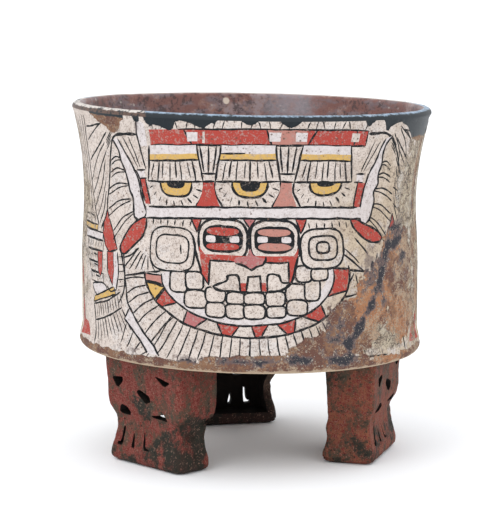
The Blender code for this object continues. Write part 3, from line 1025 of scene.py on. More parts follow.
@dataclass(frozen=True)
class Wear:
    """Where the stucco is gone, scuffed, warm or stained, over the whole chart."""

    losses: tuple[WornPatch, ...] = patches(
        (-71.0, 151.9, 12.5, 3.0, -22.0), (-64.0, 150.4, 5.0, 5.0, 30.0), (-60.4, 153.2, 4.4, 2.4),
        (-49.2, 153.0, 1.9, 2.0), (77.0, 93.0, 14.5, 16.0, 12.0), (62.0, 81.0, 14.0, 12.5, 30.0),
        (48.0, 66.0, 19.0, 12.5, 22.0), (31.0, 57.0, 14.0, 6.5), (80.0, 70.0, 15.0, 13.0, 0.0, 0.35),
        (98.5, 128.0, 3.4, 19.0, -4.0, 0.8), (2.0, 51.5, 26.0, 3.6), (34.0, 51.5, 22.0, 3.2),
        (-44.0, 50.5, 18.0, 1.6), (98.0, 82.0, 10.0, 26.0, 0.0, 0.12),
        (196.0, 62.0, 26.0, 14.0, -14.0, 0.8), (-205.0, 147.0, 24.0, 8.0, 6.0),
        (-262.0, 84.0, 12.0, 20.0, 25.0, 0.8), (-160.0, 60.0, 22.0, 9.0, 10.0, 0.9),
        (150.0, 122.0, 14.0, 16.0, 30.0, 0.75))
    ragged: WornPatch = WornPatch(60.0, 78.0, 48.0, 42.0, 20.0)
    brink: tuple[Point, ...] = (
        (-100.0, 157.0), (-45.6, 157.0), (-44.2, 149.4), (-41.0, 150.9), (-37.6, 150.0), (-34.4, 148.2),
        (-32.0, 149.8), (-31.0, 152.2), (-28.4, 153.0), (-24.5, 151.9), (-21.0, 150.4), (-18.6, 149.9),
        (-17.3, 151.8), (-16.3, 152.7), (-14.8, 152.1), (-13.4, 153.7), (-10.4, 154.5), (-4.6, 154.4),
        (-2.9, 152.4), (-0.7, 151.5), (1.7, 152.6), (3.5, 154.4), (10.7, 154.2), (12.0, 152.4),
        (15.3, 150.8), (18.6, 152.3), (20.4, 154.7), (31.0, 154.4), (39.9, 154.2), (47.2, 154.2),
        (48.6, 152.0), (50.4, 151.0), (51.9, 152.4), (53.2, 154.0), (57.8, 153.5), (59.4, 150.6),
        (61.8, 147.8), (63.4, 150.6), (66.0, 151.9), (69.8, 152.3), (75.4, 150.2), (80.0, 146.9),
        (83.4, 144.2), (92.0, 142.8), (106.0, 143.6), (114.0, 149.6),
        (126.0, 152.4), (140.0, 154.4), (170.0, 151.6), (186.0, 154.6), (220.0, 153.0), (250.0, 154.6),
        (290.0, 151.8), (318.0, 155.0), (340.0, 154.2))
    smudges: tuple[WornPatch, ...] = patches(
        (75.0, 99.4, 8.0, 3.2, 20.0, 1.2), (68.0, 97.5, 3.0, 8.0, -24.0, 1.3),
        (63.6, 87.0, 3.3, 8.6, -4.0, 1.4), (57.4, 74.4, 3.8, 5.0, -35.0, 1.4),
        (50.6, 65.6, 3.1, 6.2, -30.0, 1.5), (44.6, 58.8, 4.2, 3.8, -40.0, 1.4),
        (40.0, 52.6, 10.5, 3.2, 0.0, 1.3), (20.0, 53.4, 9.0, 2.8, 0.0, 1.2),
        (-49.6, 149.6, 2.8, 6.0, 8.0, 0.5), (-1.0, 52.6, 15.0, 2.6, 0.0, 0.75),
        (-28.0, 52.6, 14.0, 2.0, 0.0, 0.6), (-60.0, 53.4, 18.0, 2.2, 0.0, 0.5),
        (74.0, 107.0, 9.0, 13.0, -40.0, 0.55), (57.0, 91.0, 8.0, 15.0, -24.0, 0.62),
        (64.0, 86.0, 8.0, 18.0, -18.0, 0.42), (36.0, 67.0, 10.0, 12.0, -10.0, 0.36),
        (82.0, 90.0, 5.0, 10.0, 20.0, 0.30), (93.0, 118.0, 10.0, 16.0, -20.0, 0.22),
        (66.0, 143.0, 6.0, 2.6, 35.0, 0.3), (-240.0, 56.0, 24.0, 5.0, 0.0, 0.6),
        (140.0, 58.0, 24.0, 7.0, 0.0, 0.6))
    scuffs: tuple[WornPatch, ...] = patches(
        (100.0, 106.0, 34.0, 62.0, 0.0, 1.15), (84.0, 128.0, 24.0, 26.0, 0.0, 0.4),
        (66.0, 60.0, 20.0, 12.0, 0.0, 0.7), (-104.0, 108.0, 24.0, 52.0, 0.0, 0.6),
        (-150.0, 96.0, 20.0, 34.0, 0.0, 0.8), (-252.0, 70.0, 34.0, 24.0, 0.0, 0.8))
    warmths: tuple[WornPatch, ...] = patches(
        (78.0, 88.0, 66.0, 76.0), (-104.0, 96.0, 40.0, 60.0, 0.0, 0.5),
        (-250.0, 96.0, 70.0, 60.0, 0.0, 0.8))

    @staticmethod
    def rolled(places: np.ndarray) -> np.ndarray:
        """Places on the rolled-up wall, so that noise meets itself at the chart's two ends.

        Args:
            places: Rows of x and h on the chart.

        Returns:
            Rows of x, y and z in millimetres.
        """
        radius = GIRTH / (2 * pi)
        turn = places[:, 0] / radius
        return np.stack([radius * np.sin(turn), -radius * np.cos(turn), places[:, 1]], axis=1)

    def deepest(self, patches: Sequence[WornPatch], places: np.ndarray) -> np.ndarray:
        """The greatest depth of several patches at each place."""
        return np.max([patch.depth(places) for patch in patches], axis=0)

    def loss(self, places: np.ndarray, form: VesselForm) -> np.ndarray:
        """How surely the stucco is gone, 0 to 1, with the edge of a loss at one half.

        Args:
            places: Rows of x and h on the chart.
            form: The vessel's sizes.

        Returns:
            One number for each place.
        """
        rolled = self.rolled(places)
        bite = fractal(rolled, 6.5, 4, 3.1) * (0.20 - 0.12 * smooth_step(places[:, 1], 145.0, 149.0))
        bite = bite + 0.16 * fractal(rolled, 2.2, 3, 7.7) * \
            np.clip(3.0 * self.ragged.depth(places), 0.0, 1.0)
        gone = self.deepest(self.losses, places)
        scallop = fractal(rolled * np.array([1.0, 1.0, 0.3]), 8.0, 2, 8.8)
        around, heights = np.array(self.brink).T
        top = np.interp(places[:, 0], around, heights, period=GIRTH) + 0.25 * scallop
        gone = np.maximum(gone, (places[:, 1] - top) / 1.6)
        gone = np.maximum(gone, (form.bead_foot / MM + 1.4 + 1.3 * scallop - places[:, 1]) / 4.0)
        return np.clip(0.5 + 0.85 * gone + bite, 0.0, 1.0)

    def smudge(self, places: np.ndarray) -> np.ndarray:
        """How dark the stain is at each place, 0 to 1."""
        cloud = fractal(self.rolled(places), 5.0, 5, 21.7)
        return np.clip(0.31 + 0.66 * self.deepest(self.smudges, places) + 0.34 * cloud, 0.0, 1.0)

    def scuff(self, places: np.ndarray) -> np.ndarray:
        """How far the surface is rubbed down, 0 to 1."""
        cloud = fractal(self.rolled(places), 14.0, 3, 33.1)
        return np.clip(0.2 + 1.6 * self.deepest(self.scuffs, places) + 0.4 * cloud, 0.0, 1.0)

    def warmth(self, places: np.ndarray) -> np.ndarray:
        """How yellowed the surface is, 0 to 1."""
        cloud = fractal(self.rolled(places), 22.0, 3, 15.7)
        return np.clip(0.1 + 1.5 * self.deepest(self.warmths, places) + 0.25 * cloud, 0.0, 1.0)

    def bared_lip(self, places: np.ndarray) -> np.ndarray:
        """Depth in the stretch at the left where the black slip of the lip is missing."""
        return 3.0 * WornPatch(-92.0, 153.0, 46.0, 16.0).depth(places)

    def slip(self, places: np.ndarray) -> np.ndarray:
        """How much black slip lies on the bare clay, 0 to 1: a band under the lip, with a gap at the left."""
        gap = np.clip(self.bared_lip(places), 0.0, 1.0)
        return np.clip(smooth_step(places[:, 1], 141.0, 148.0) - gap, 0.0, 1.0)

    def values(self, places: np.ndarray, form: VesselForm) -> dict[str, np.ndarray]:
        """Every field of the wear at each place, by the name that the shaders read."""
        return {"loss": self.loss(places, form), "smudge": self.smudge(places), "scuff": self.scuff(places),
                "warmth": self.warmth(places), "slip": self.slip(places)}


class Signal:
    """A value of a shader tree. Arithmetic on it adds Math nodes."""

    def __init__(self, tree: "ShaderTree", socket: bpy.types.NodeSocket) -> None:
        """Wrap a socket of a tree."""
        self.tree = tree
        self.socket = socket

    def _math(self, operation: str, first: Any, second: Any) -> "Signal":
        """One Math node."""
        return self.tree.signal("ShaderNodeMath", {"operation": operation}, {0: first, 1: second})

    def __add__(self, other: Any) -> "Signal":
        """Sum."""
        return self._math("ADD", self, other)

    def __sub__(self, other: Any) -> "Signal":
        """Difference."""
        return self._math("SUBTRACT", self, other)

    def __rsub__(self, other: Any) -> "Signal":
        """Difference from a number."""
        return self._math("SUBTRACT", other, self)

    def __mul__(self, other: Any) -> "Signal":
        """Product."""
        return self._math("MULTIPLY", self, other)

    def __truediv__(self, other: Any) -> "Signal":
        """Quotient."""
        return self._math("DIVIDE", self, other)

    def most(self, other: Any) -> "Signal":
        """The greater of two values."""
        return self._math("MAXIMUM", self, other)

    __radd__ = __add__
    __rmul__ = __mul__


class ShaderTree:
    """A material's node tree with a Principled shader, filled by the methods below."""

    def __init__(self, name: str) -> None:
        """Make an empty material with its shader and output.

        Args:
            name: Its name.
        """
        self.material = bpy.data.materials.new(name)
        self.material.use_nodes = True
        self.nodes = self.material.node_tree.nodes
        self.links = self.material.node_tree.links
        self.shader = self.nodes["Principled BSDF"]
        self.place = self.node("ShaderNodeTexCoord").outputs["Object"]

    def node(self, kind: str, settings: dict[str, Any] | None = None,
             inputs: dict[Any, Any] | None = None) -> bpy.types.Node:
        """Add a node.

        Args:
            kind: The node's type.
            settings: Its own settings, set first.
            inputs: A number, colour, socket or signal for each named or numbered socket.

        Returns:
            The node.
        """
        made = self.nodes.new(kind)
        for name, value in (settings or {}).items():
            setattr(made, name, value)
        for key, value in (inputs or {}).items():
            if isinstance(value, Signal):
                value = value.socket
            if isinstance(value, bpy.types.NodeSocket):
                self.links.new(value, made.inputs[key])
            else:
                made.inputs[key].default_value = value
        return made

    def signal(self, kind: str, settings: dict[str, Any] | None = None, inputs: dict[Any, Any] | None = None,
               output: Any = 0) -> Signal:
        """Add a node and give one of its outputs."""
        return Signal(self, self.node(kind, settings, inputs).outputs[output])

    def noise(self, size: float, detail: float = 3.0, rough: float = 0.55, stretch: Any = None) -> Signal:
        """Cloudy noise, 0 to 1, whose largest features have a size in metres.

        Args:
            size: Length of its features in metres.
            detail: Number of finer layers.
            rough: Strength of the finer layers.
            stretch: Scale along each axis, or None.

        Returns:
            The value.
        """
        place = self.place
        if stretch is not None:
            place = self.node("ShaderNodeVectorMath", {"operation": "MULTIPLY"},
                              {0: place, 1: stretch}).outputs[0]
        return self.signal("ShaderNodeTexNoise", {"noise_dimensions": "3D"}, {
            "Vector": place, "Scale": 1.0 / size, "Detail": detail, "Roughness": rough})

    def cells(self, size: float, feature: str = "F1", warp: float = 0.0) -> Signal:
        """Distance to the nearest of scattered points, or to the edge of its cell, with warped places.

        Args:
            size: Length of its features in metres.
            feature: What is measured.
            warp: How far places drift.

        Returns:
            The distance.
        """
        drift = self.node("ShaderNodeTexNoise", None,
                          {"Vector": self.place, "Scale": 0.7 / size, "Detail": 3.0})
        place = self.node("ShaderNodeVectorMath", {"operation": "MULTIPLY_ADD"},
                          {0: drift.outputs[1], 1: (warp, warp, warp), 2: self.place}).outputs[0]
        return self.signal("ShaderNodeTexVoronoi", {"feature": feature},
                           {"Vector": place, "Scale": 1.0 / size}, 0)

    def between(self, value: Any, low: float, high: float) -> Signal:
        """A soft step from 0 at low to 1 at high, or falling where low is the greater.

        Args:
            value: The value.
            low: Where the step starts.
            high: Where it ends.

        Returns:
            The step.
        """
        ends = (low, high, 0.0, 1.0) if low <= high else (high, low, 1.0, 0.0)
        return self.signal("ShaderNodeMapRange", {"interpolation_type": "SMOOTHSTEP"},
                           dict(enumerate((value, *ends))))

    def attribute(self, name: str, output: str = "Fac") -> Signal:
        """A value stored on the mesh."""
        return self.signal("ShaderNodeAttribute", {"attribute_type": "GEOMETRY", "attribute_name": name},
                           None, output)

    def mix(self, factor: Any, first: Any, second: Any, blend: str = "MIX") -> Signal:
        """Blend two colours.

        Args:
            factor: Share of the second.
            first: The first colour.
            second: The second colour.
            blend: How they blend.

        Returns:
            The blend.
        """
        first = (*first, 1.0) if isinstance(first, tuple) and len(first) == 3 else first
        second = (*second, 1.0) if isinstance(second, tuple) and len(second) == 3 else second
        return self.signal("ShaderNodeMix", {"data_type": "RGBA", "blend_type": blend},
                           {0: factor, 6: first, 7: second}, 2)

    def layers(self, base: Any, *rows: tuple[Any, float, float, float, Any]) -> Signal:
        """Lay colours over one another.

        Args:
            base: The lowest colour.
            rows: For each layer its mask, two values of it between which it comes in, its share and colour.

        Returns:
            The colour of them all.
        """
        for mask, low, high, share, colour in rows:
            amount = self.between(mask, low, high)
            base = self.mix(amount * share if share < 1.0 else amount, base, colour)
        return base

    def finish(self, colour: Signal, roughness: Any, height: Signal, depth: float,
               specular: float = 0.5) -> bpy.types.Material:
        """Feed the shader.

        Args:
            colour: The surface's colour.
            roughness: Its roughness.
            height: Relief, 0 to 1.
            depth: How many metres deep the relief is.
            specular: The shader's specular level.

        Returns:
            The material.
        """
        bump = self.node("ShaderNodeBump", None, {"Height": height, "Distance": depth, "Strength": 1.0})
        self.links.new(colour.socket, self.shader.inputs["Base Color"])
        if isinstance(roughness, Signal):
            self.links.new(roughness.socket, self.shader.inputs["Roughness"])
        else:
            self.shader.inputs["Roughness"].default_value = roughness
        self.links.new(bump.outputs["Normal"], self.shader.inputs["Normal"])
        self.shader.inputs["Specular IOR Level"].default_value = specular
        return self.material


@dataclass(frozen=True)
class StuccoFinish:
    """Thin painted stucco over a brown clay body, with slip near the rim."""

    cool: Triple = (0.62, 0.545, 0.495)
    warm: Triple = (0.50, 0.405, 0.30)
    dirt: Triple = (0.36, 0.285, 0.235)
    clay: Triple = (0.205, 0.110, 0.066)
    clay_red: Triple = (0.125, 0.060, 0.046)
    clay_orange: Triple = (0.36, 0.165, 0.080)
    clay_tan: Triple = (0.38, 0.30, 0.215)
    slip: Triple = (0.012, 0.017, 0.021)
    lavender: Triple = (0.118, 0.089, 0.088)
    smudge: Triple = (0.026, 0.028, 0.036)
    speck: Triple = (0.12, 0.075, 0.058)

    def material(self) -> bpy.types.Material:
        """Build the wall's material.

        Returns:
            The material.
        """
        tree = ShaderTree("painted_stucco")
        loss, smudge, scuff, warmth, slip, paint = (
            tree.attribute(name) for name in ("loss", "smudge", "scuff", "warmth", "slip", "paint"))
        pigment = tree.attribute("pigment", "Color")

        fine = tree.noise(0.0016, 4.0, 0.65)
        grain = tree.noise(0.0006, 2.0, 0.5)
        cloud = tree.noise(0.011, 3.0, 0.55)
        broad = tree.noise(0.034, 2.0, 0.5)
        blotch = tree.noise(0.0046, 4.0, 0.7)
        bare = tree.between(loss + (fine - 0.5) * (0.34 - slip * 0.18) + (grain - 0.5) * 0.14, 0.47, 0.53)

        ground = tree.layers(self.cool,
            (warmth + (cloud - 0.5) * 0.9, 0.25, 0.95, 1.0, self.warm),
            (blotch + (broad - 0.5) * 0.6, 0.52, 0.66, 0.5, (0.62, 0.60, 0.60)),
            (cloud, 0.40, 0.72, 0.30, self.dirt),
            (blotch + (grain - 0.5) * 0.9, 0.52, 0.68, 0.45, self.dirt),
            (grain + (fine - 0.5) * 0.7, 0.53, 0.66, 0.50, (0.20, 0.150, 0.128)))
        ground = tree.mix((fine - 0.35) * 0.8, ground, (0.50, 0.45, 0.42), "MULTIPLY")

        tired = tree.between(fine + (blotch - 0.5) * 0.8 + (grain - 0.5) * 0.6, 0.57, 0.68) * 0.45
        flecks = tree.between(grain + (fine - 0.5) * 1.1, 0.57, 0.70)
        rubbed = tree.between(scuff + (blotch - 0.5) * 1.3 + (grain - 0.5) * 0.5, 0.48, 0.74)
        gone = (tired.most(flecks * 0.62) * tree.between(cloud, 0.22, 0.52)).most(rubbed * 0.82)
        shade = tree.mix((fine - 0.2) * 0.9, pigment, (0.52, 0.46, 0.44), "MULTIPLY")
        surface = tree.mix(paint * (1.0 - gone * tree.between(paint, 0.5, 1.0)), ground, shade)

        worn = tree.layers((0.43, 0.37, 0.28),
            (blotch + (grain - 0.5) * 0.8, 0.42, 0.58, 1.0, (0.21, 0.155, 0.105)),
            (cloud + (grain - 0.5) * 0.9, 0.54, 0.68, 1.0, (0.50, 0.46, 0.42)),
            (fine + (grain - 0.5) * 0.9, 0.54, 0.66, 0.7, (0.085, 0.066, 0.050)))
        surface = tree.mix(rubbed * tree.between(scuff, 0.30, 0.75) * 0.85, surface, worn)

        pores = tree.between(tree.cells(0.0029), 0.20, 0.10) * tree.between(broad + (cloud - 0.5) * 0.5,
                                                                            0.36, 0.58)
        pricks = tree.between(tree.cells(0.0015), 0.22, 0.10) * tree.between(cloud, 0.36, 0.54)
        specks = pores.most(pricks * 0.75)
        surface = tree.mix(specks * 0.80, surface, self.speck)
        crazing = tree.between(tree.cells(0.0056, "DISTANCE_TO_EDGE", 0.014) + (fine - 0.5) * 0.08, 0.050,
                               0.016)
        crazing = crazing * tree.between(blotch, 0.38, 0.52) * tree.between(scuff + (cloud - 0.5) * 0.8,
                                                                            0.30, 0.60)
        surface = tree.mix(crazing * 0.8, surface, (0.060, 0.048, 0.042))
        surface = tree.mix(tree.between(smudge + (fine - 0.5) * 0.7, 0.44, 0.68) * 0.62, surface,
                           self.lavender)

        body = tree.layers(self.clay,
            (cloud + (fine - 0.5) * 0.7, 0.42, 0.58, 1.0, self.clay_red),
            (warmth + (broad - 0.5) * 2.2 + (blotch - 0.5) * 1.8, 0.84, 1.12, 0.8, self.clay_orange),
            (blotch + (grain - 0.5) * 0.9 + scuff * 0.14, 0.54, 0.66, 0.8, self.clay_tan),
            (grain + (fine - 0.5), 0.54, 0.68, 0.72, (0.070, 0.042, 0.034)),
            (smudge + (fine - 0.5) * 0.9 + (blotch - 0.5) * 0.7, 0.36, 0.54, 0.88, self.lavender),
            (smudge + (fine - 0.5) * 1.1 + (blotch - 0.5) * 0.7, 0.56, 0.72, 0.92, self.smudge),
            (fine + (grain - 0.5), 0.64, 0.76, 0.6, (0.50, 0.43, 0.35)))
        brim = tree.attribute("rubbed") * tree.attribute("below")
        body = tree.mix(tree.between(brim + (blotch - 0.5) * 2.4 + (fine - 0.5) * 1.0, 0.66, 0.96) * 0.8,
                        body, (0.42, 0.32, 0.23))
        dark = tree.between(slip + (fine - 0.5) * 0.35 + (cloud - 0.5) * 0.5, 0.42, 0.58)
        body = tree.mix(dark, body, self.slip)

        colour = tree.mix(bare, surface, body)
        roughness = tree.signal("ShaderNodeMapRange", None,
                                {0: bare * dark, 1: 0.0, 2: 1.0, 3: 0.84, 4: 0.42})
        relief = ((1.0 - bare) * 0.50 + fine * 0.28 + grain * 0.20 - specks * 0.30 * (1.0 - bare)
                  - crazing * 0.14 + blotch * 0.14)
        return tree.finish(colour, roughness, relief, 0.00055, 0.18)


@dataclass(frozen=True)
class SlipFinish:
    """Burnished slip: blue-black over the lip, red-brown and purple-grey inside, with a painted blue-grey
    highlight on the lip's near crest and a painted pale highlight on the inner wall.
    """

    red: Triple = (0.188, 0.080, 0.067)
    purple: Triple = (0.178, 0.126, 0.134)
    brown: Triple = (0.285, 0.155, 0.115)
    black: Triple = (0.009, 0.014, 0.019)
    # worn: painted highlight, the blue-grey reflection laid on the near crest of the black lip
    worn: Triple = (0.32, 0.43, 0.56)
    pale: Triple = (0.46, 0.40, 0.36)
    underside: Triple = (0.20, 0.12, 0.075)
    edge: Triple = (0.47, 0.36, 0.25)
    spot: Triple = (-0.0125, 0.0745, 0.1522)

    def material(self) -> bpy.types.Material:
        """Build the material of the lip, the inside and the underside.

        Returns:
            The material.
        """
        tree = ShaderTree("burnished_slip")
        slip, rubbed, below, behind, bared = (
            tree.attribute(name) for name in ("slip", "rubbed", "below", "behind", "bared"))
        streak = tree.noise(0.010, 4.0, 0.6, (1.0, 1.0, 3.0))
        cloud = tree.noise(0.022, 3.0, 0.55)
        blotch = tree.noise(0.0052, 4.0, 0.7)
        fine = tree.noise(0.0014, 3.0, 0.6)
        inside = tree.layers(self.red,
            (streak + (cloud - 0.5) * 0.8, 0.40, 0.60, 1.0, self.purple),
            (blotch + (cloud - 0.5) * 0.9, 0.54, 0.66, 0.75, self.brown),
            (blotch + (fine - 0.5) * 0.8, 0.50, 0.36, 0.75, (0.050, 0.030, 0.029)),
            (cloud + (blotch - 0.5) * 0.7 + (fine - 0.5) * 0.4, 0.58, 0.72, 0.5, (0.27, 0.25, 0.29)))
        # Painted highlight: a pale patch on the inner back wall stands in for light reflected by the
        # burnished slip
        painted_sheen_distance = tree.signal("ShaderNodeVectorMath", {"operation": "DISTANCE"},
                            {0: tree.place, 1: (0.021, 0.076, 0.150)}, 1)
        inside = tree.mix(tree.between(painted_sheen_distance + (blotch - 0.5) * 0.03, 0.022, 0.0) * 0.6, inside,
                          (0.36, 0.33, 0.36))
        flecks = tree.between(tree.cells(0.0044), 0.22, 0.10) * tree.between(streak, 0.46, 0.58)
        inside = tree.mix(flecks * 0.7, inside, self.pale)
        away = tree.signal("ShaderNodeVectorMath", {"operation": "DISTANCE"},
                           {0: tree.place, 1: self.spot}, 1)
        inside = tree.mix(tree.between(away + (fine - 0.5) * 0.0008, 0.0021, 0.0016), inside,
                          (0.62, 0.52, 0.43))

        # Painted highlight: the near crest of the lip turns from black to a blue-grey reflection; the far
        # crest (back) gets real rubbed wear
        crest = tree.between(rubbed + (fine - 0.5) * 0.9 + (blotch - 0.5) * 0.8, 0.42, 0.82)
        front = tree.mix(crest * 0.9, self.black, self.worn)
        back = tree.mix(tree.between(rubbed + (blotch - 0.5) * 1.1 + (fine - 0.5) * 0.5, 0.40, 0.66), inside,
                        self.pale)
        peeled = tree.layers((0.105, 0.062, 0.046),
            (rubbed + (blotch - 0.5) * 1.2 + (fine - 0.5) * 0.6, 0.42, 0.60, 1.0, (0.60, 0.55, 0.51)),
            (blotch + (fine - 0.5) * 1.2, 0.48, 0.40, 0.9, self.black))
        front = tree.mix(tree.between(bared + (blotch - 0.5) * 0.5, 0.35, 0.60), front, peeled)
        lip = tree.mix(behind, front, back)
        colour = tree.layers(inside,
            (slip + (fine - 0.5) * 0.3, 0.40, 0.60, 1.0, lip),
            (rubbed + (blotch - 0.5) * 0.8, 0.70, 0.95, 0.5, self.pale))
        clay = tree.layers(self.underside,
            (cloud + (fine - 0.5) * 0.5, 0.35, 0.65, 1.0, (0.13, 0.075, 0.05)),
            (rubbed + (blotch - 0.5) * 2.0 + (fine - 0.5) * 0.6, 0.50, 0.80, 1.0, self.edge),
            (fine + (blotch - 0.5) * 0.6, 0.58, 0.70, 0.5, (0.12, 0.07, 0.045)))
        colour = tree.mix(below, colour, clay)
        roughness = tree.signal("ShaderNodeMapRange", None, {
            0: below.most(fine * 0.45 + streak * 0.35).most(slip * 0.55), 1: 0.0, 2: 1.0, 3: 0.24, 4: 0.82})
        relief = fine * 0.35 + streak * 0.45 + blotch * 0.3 + flecks * 0.25
        return tree.finish(colour, roughness, relief, 0.00030, 0.35)


@dataclass(frozen=True)
class FootFinish:
    """Red pigment rubbed over dark, encrusted clay, with painted shade darkening the back foot and the
    hollows.
    """

    red: Triple = (0.125, 0.021, 0.016)
    pink: Triple = (0.265, 0.084, 0.066)
    orange: Triple = (0.215, 0.078, 0.040)
    brown: Triple = (0.085, 0.040, 0.025)
    dull: Triple = (0.066, 0.060, 0.043)
    dark: Triple = (0.016, 0.018, 0.014)
    soot_and_shade: Triple = (0.008, 0.006, 0.005)

    def material(self, hollow: bool = False) -> bpy.types.Material:
        """Build the feet's material, or the darker one of their hollows, whose near black is blackened clay
        and painted shade.

        Args:
            hollow: Whether it is for the hollows.

        Returns:
            The material.
        """
        tree = ShaderTree("foot_hollow" if hollow else "foot_pigment")
        cloud = tree.noise(0.0105, 4.0, 0.65)
        fine = tree.noise(0.0015, 4.0, 0.65)
        grain = tree.noise(0.0006, 2.0, 0.5)
        if hollow:
            # Hollows: blackened clay together with painted shade in the recesses, near black
            colour = tree.mix(tree.between(cloud, 0.5, 0.75) * 0.5, self.soot_and_shade, (0.03, 0.022, 0.018))
            return tree.finish(colour, 0.9, fine, 0.0003, 0.2)
        low, rubbed, behind = (tree.attribute(name) for name in ("low", "rubbed", "behind"))
        streak = tree.noise(0.0048, 4.0, 0.7, (1.0, 1.0, 0.6))
        colour = tree.mix(tree.between(fine + (grain - 0.5) * 0.7 + (cloud - 0.5) * 0.3, 0.44, 0.60),
                          self.red, self.pink)
        across = tree.signal("ShaderNodeSeparateXYZ", None, {0: tree.place}, 0)
        colour = tree.mix(tree.between(across + (cloud - 0.5) * 0.03, 0.0, 0.03)
                          * tree.between(fine, 0.38, 0.60) * 0.8,
                          colour, self.orange)
        worn = cloud * 0.6 + streak * 0.5 - 0.05 + (fine - 0.5) * 0.4
        colour = tree.layers(colour,
            (worn, 0.46, 0.57, 0.9, self.brown),
            (worn + (grain - 0.5) * 0.7, 0.54, 0.64, 0.9, self.dull))
        broad = tree.noise(0.020, 2.0, 0.5)
        grime = low * 0.42 + (broad - 0.5) * 1.2 + (cloud - 0.5) * 0.9 + (streak - 0.5) * 0.7 \
            + (fine - 0.5) * 0.5
        colour = tree.mix(tree.between(grime, 0.16, 0.42) * 0.90, colour, self.dark)
        # Painted shade together with darker clay: the back foot, under the bowl, is turned near black and
        # dark brown
        rear = tree.mix(tree.between(cloud + (fine - 0.5) * 0.8 - low * 0.5, 0.30, 0.52),
                        (0.014, 0.011, 0.009),
                        (0.085, 0.060, 0.044))
        colour = tree.mix(tree.between(behind + (cloud - 0.5) * 0.4, 0.35, 0.65) * 0.9, colour, rear)
        speckle = tree.between(grain + (fine - 0.5) * 0.8, 0.60, 0.72)
        colour = tree.mix(speckle * 0.65, colour, (0.022, 0.016, 0.013))
        colour = tree.layers(colour,
            (grain + (fine - 0.5) * 0.8, 0.40, 0.28, 0.45, (0.33, 0.20, 0.15)),
            (rubbed + (fine - 0.5) * 0.6, 0.55, 0.85, 0.30, (0.30, 0.14, 0.10)))
        pits = tree.between(tree.cells(0.0026), 0.22, 0.10) * tree.between(cloud, 0.40, 0.60)
        colour = tree.mix(pits * 0.8, colour, (0.025, 0.018, 0.015))
        relief = fine * 0.42 + streak * 0.40 + grain * 0.16 - pits * 0.5
        return tree.finish(colour, 0.74, relief, 0.00100, 0.15)


@dataclass(frozen=True)
class FloorFinish:
    """A plain pale floor."""

    colour: Triple = (0.972, 0.982, 1.0)

    def material(self) -> bpy.types.Material:
        """Build the floor's material.

        Returns:
            The material.
        """
        tree = ShaderTree("pale_floor")
        mottle = tree.mix(tree.noise(0.4, 1.0) * 0.05, self.colour, (0.95, 0.965, 0.99))
        return tree.finish(mottle, 0.85, tree.noise(0.01, 1.0), 0.00001, 0.1)


def linked(name: str, data: Any) -> bpy.types.Object:
    """A new object of some data, put in the scene.

    Args:
        name: Its name.
        data: What it shows or does.

    Returns:
        The object.
    """
    made = bpy.data.objects.new(name, data)
    bpy.context.scene.collection.objects.link(made)
    return made


class Slot(Enum):
    """The order of the vessel's materials."""

    WALL = 0
    SLIP = 1
    FOOT = 2
    HOLLOW = 3


@dataclass
class Shell:
    """Points, faces, materials and stored values of one stretch of the surface, ready to be joined."""

    points: np.ndarray
    faces: list[Sequence[int]]
    slots: list[int]
    values: dict[str, np.ndarray] = field(default_factory=dict)
    pigment: np.ndarray | None = None
    paint: np.ndarray | None = None


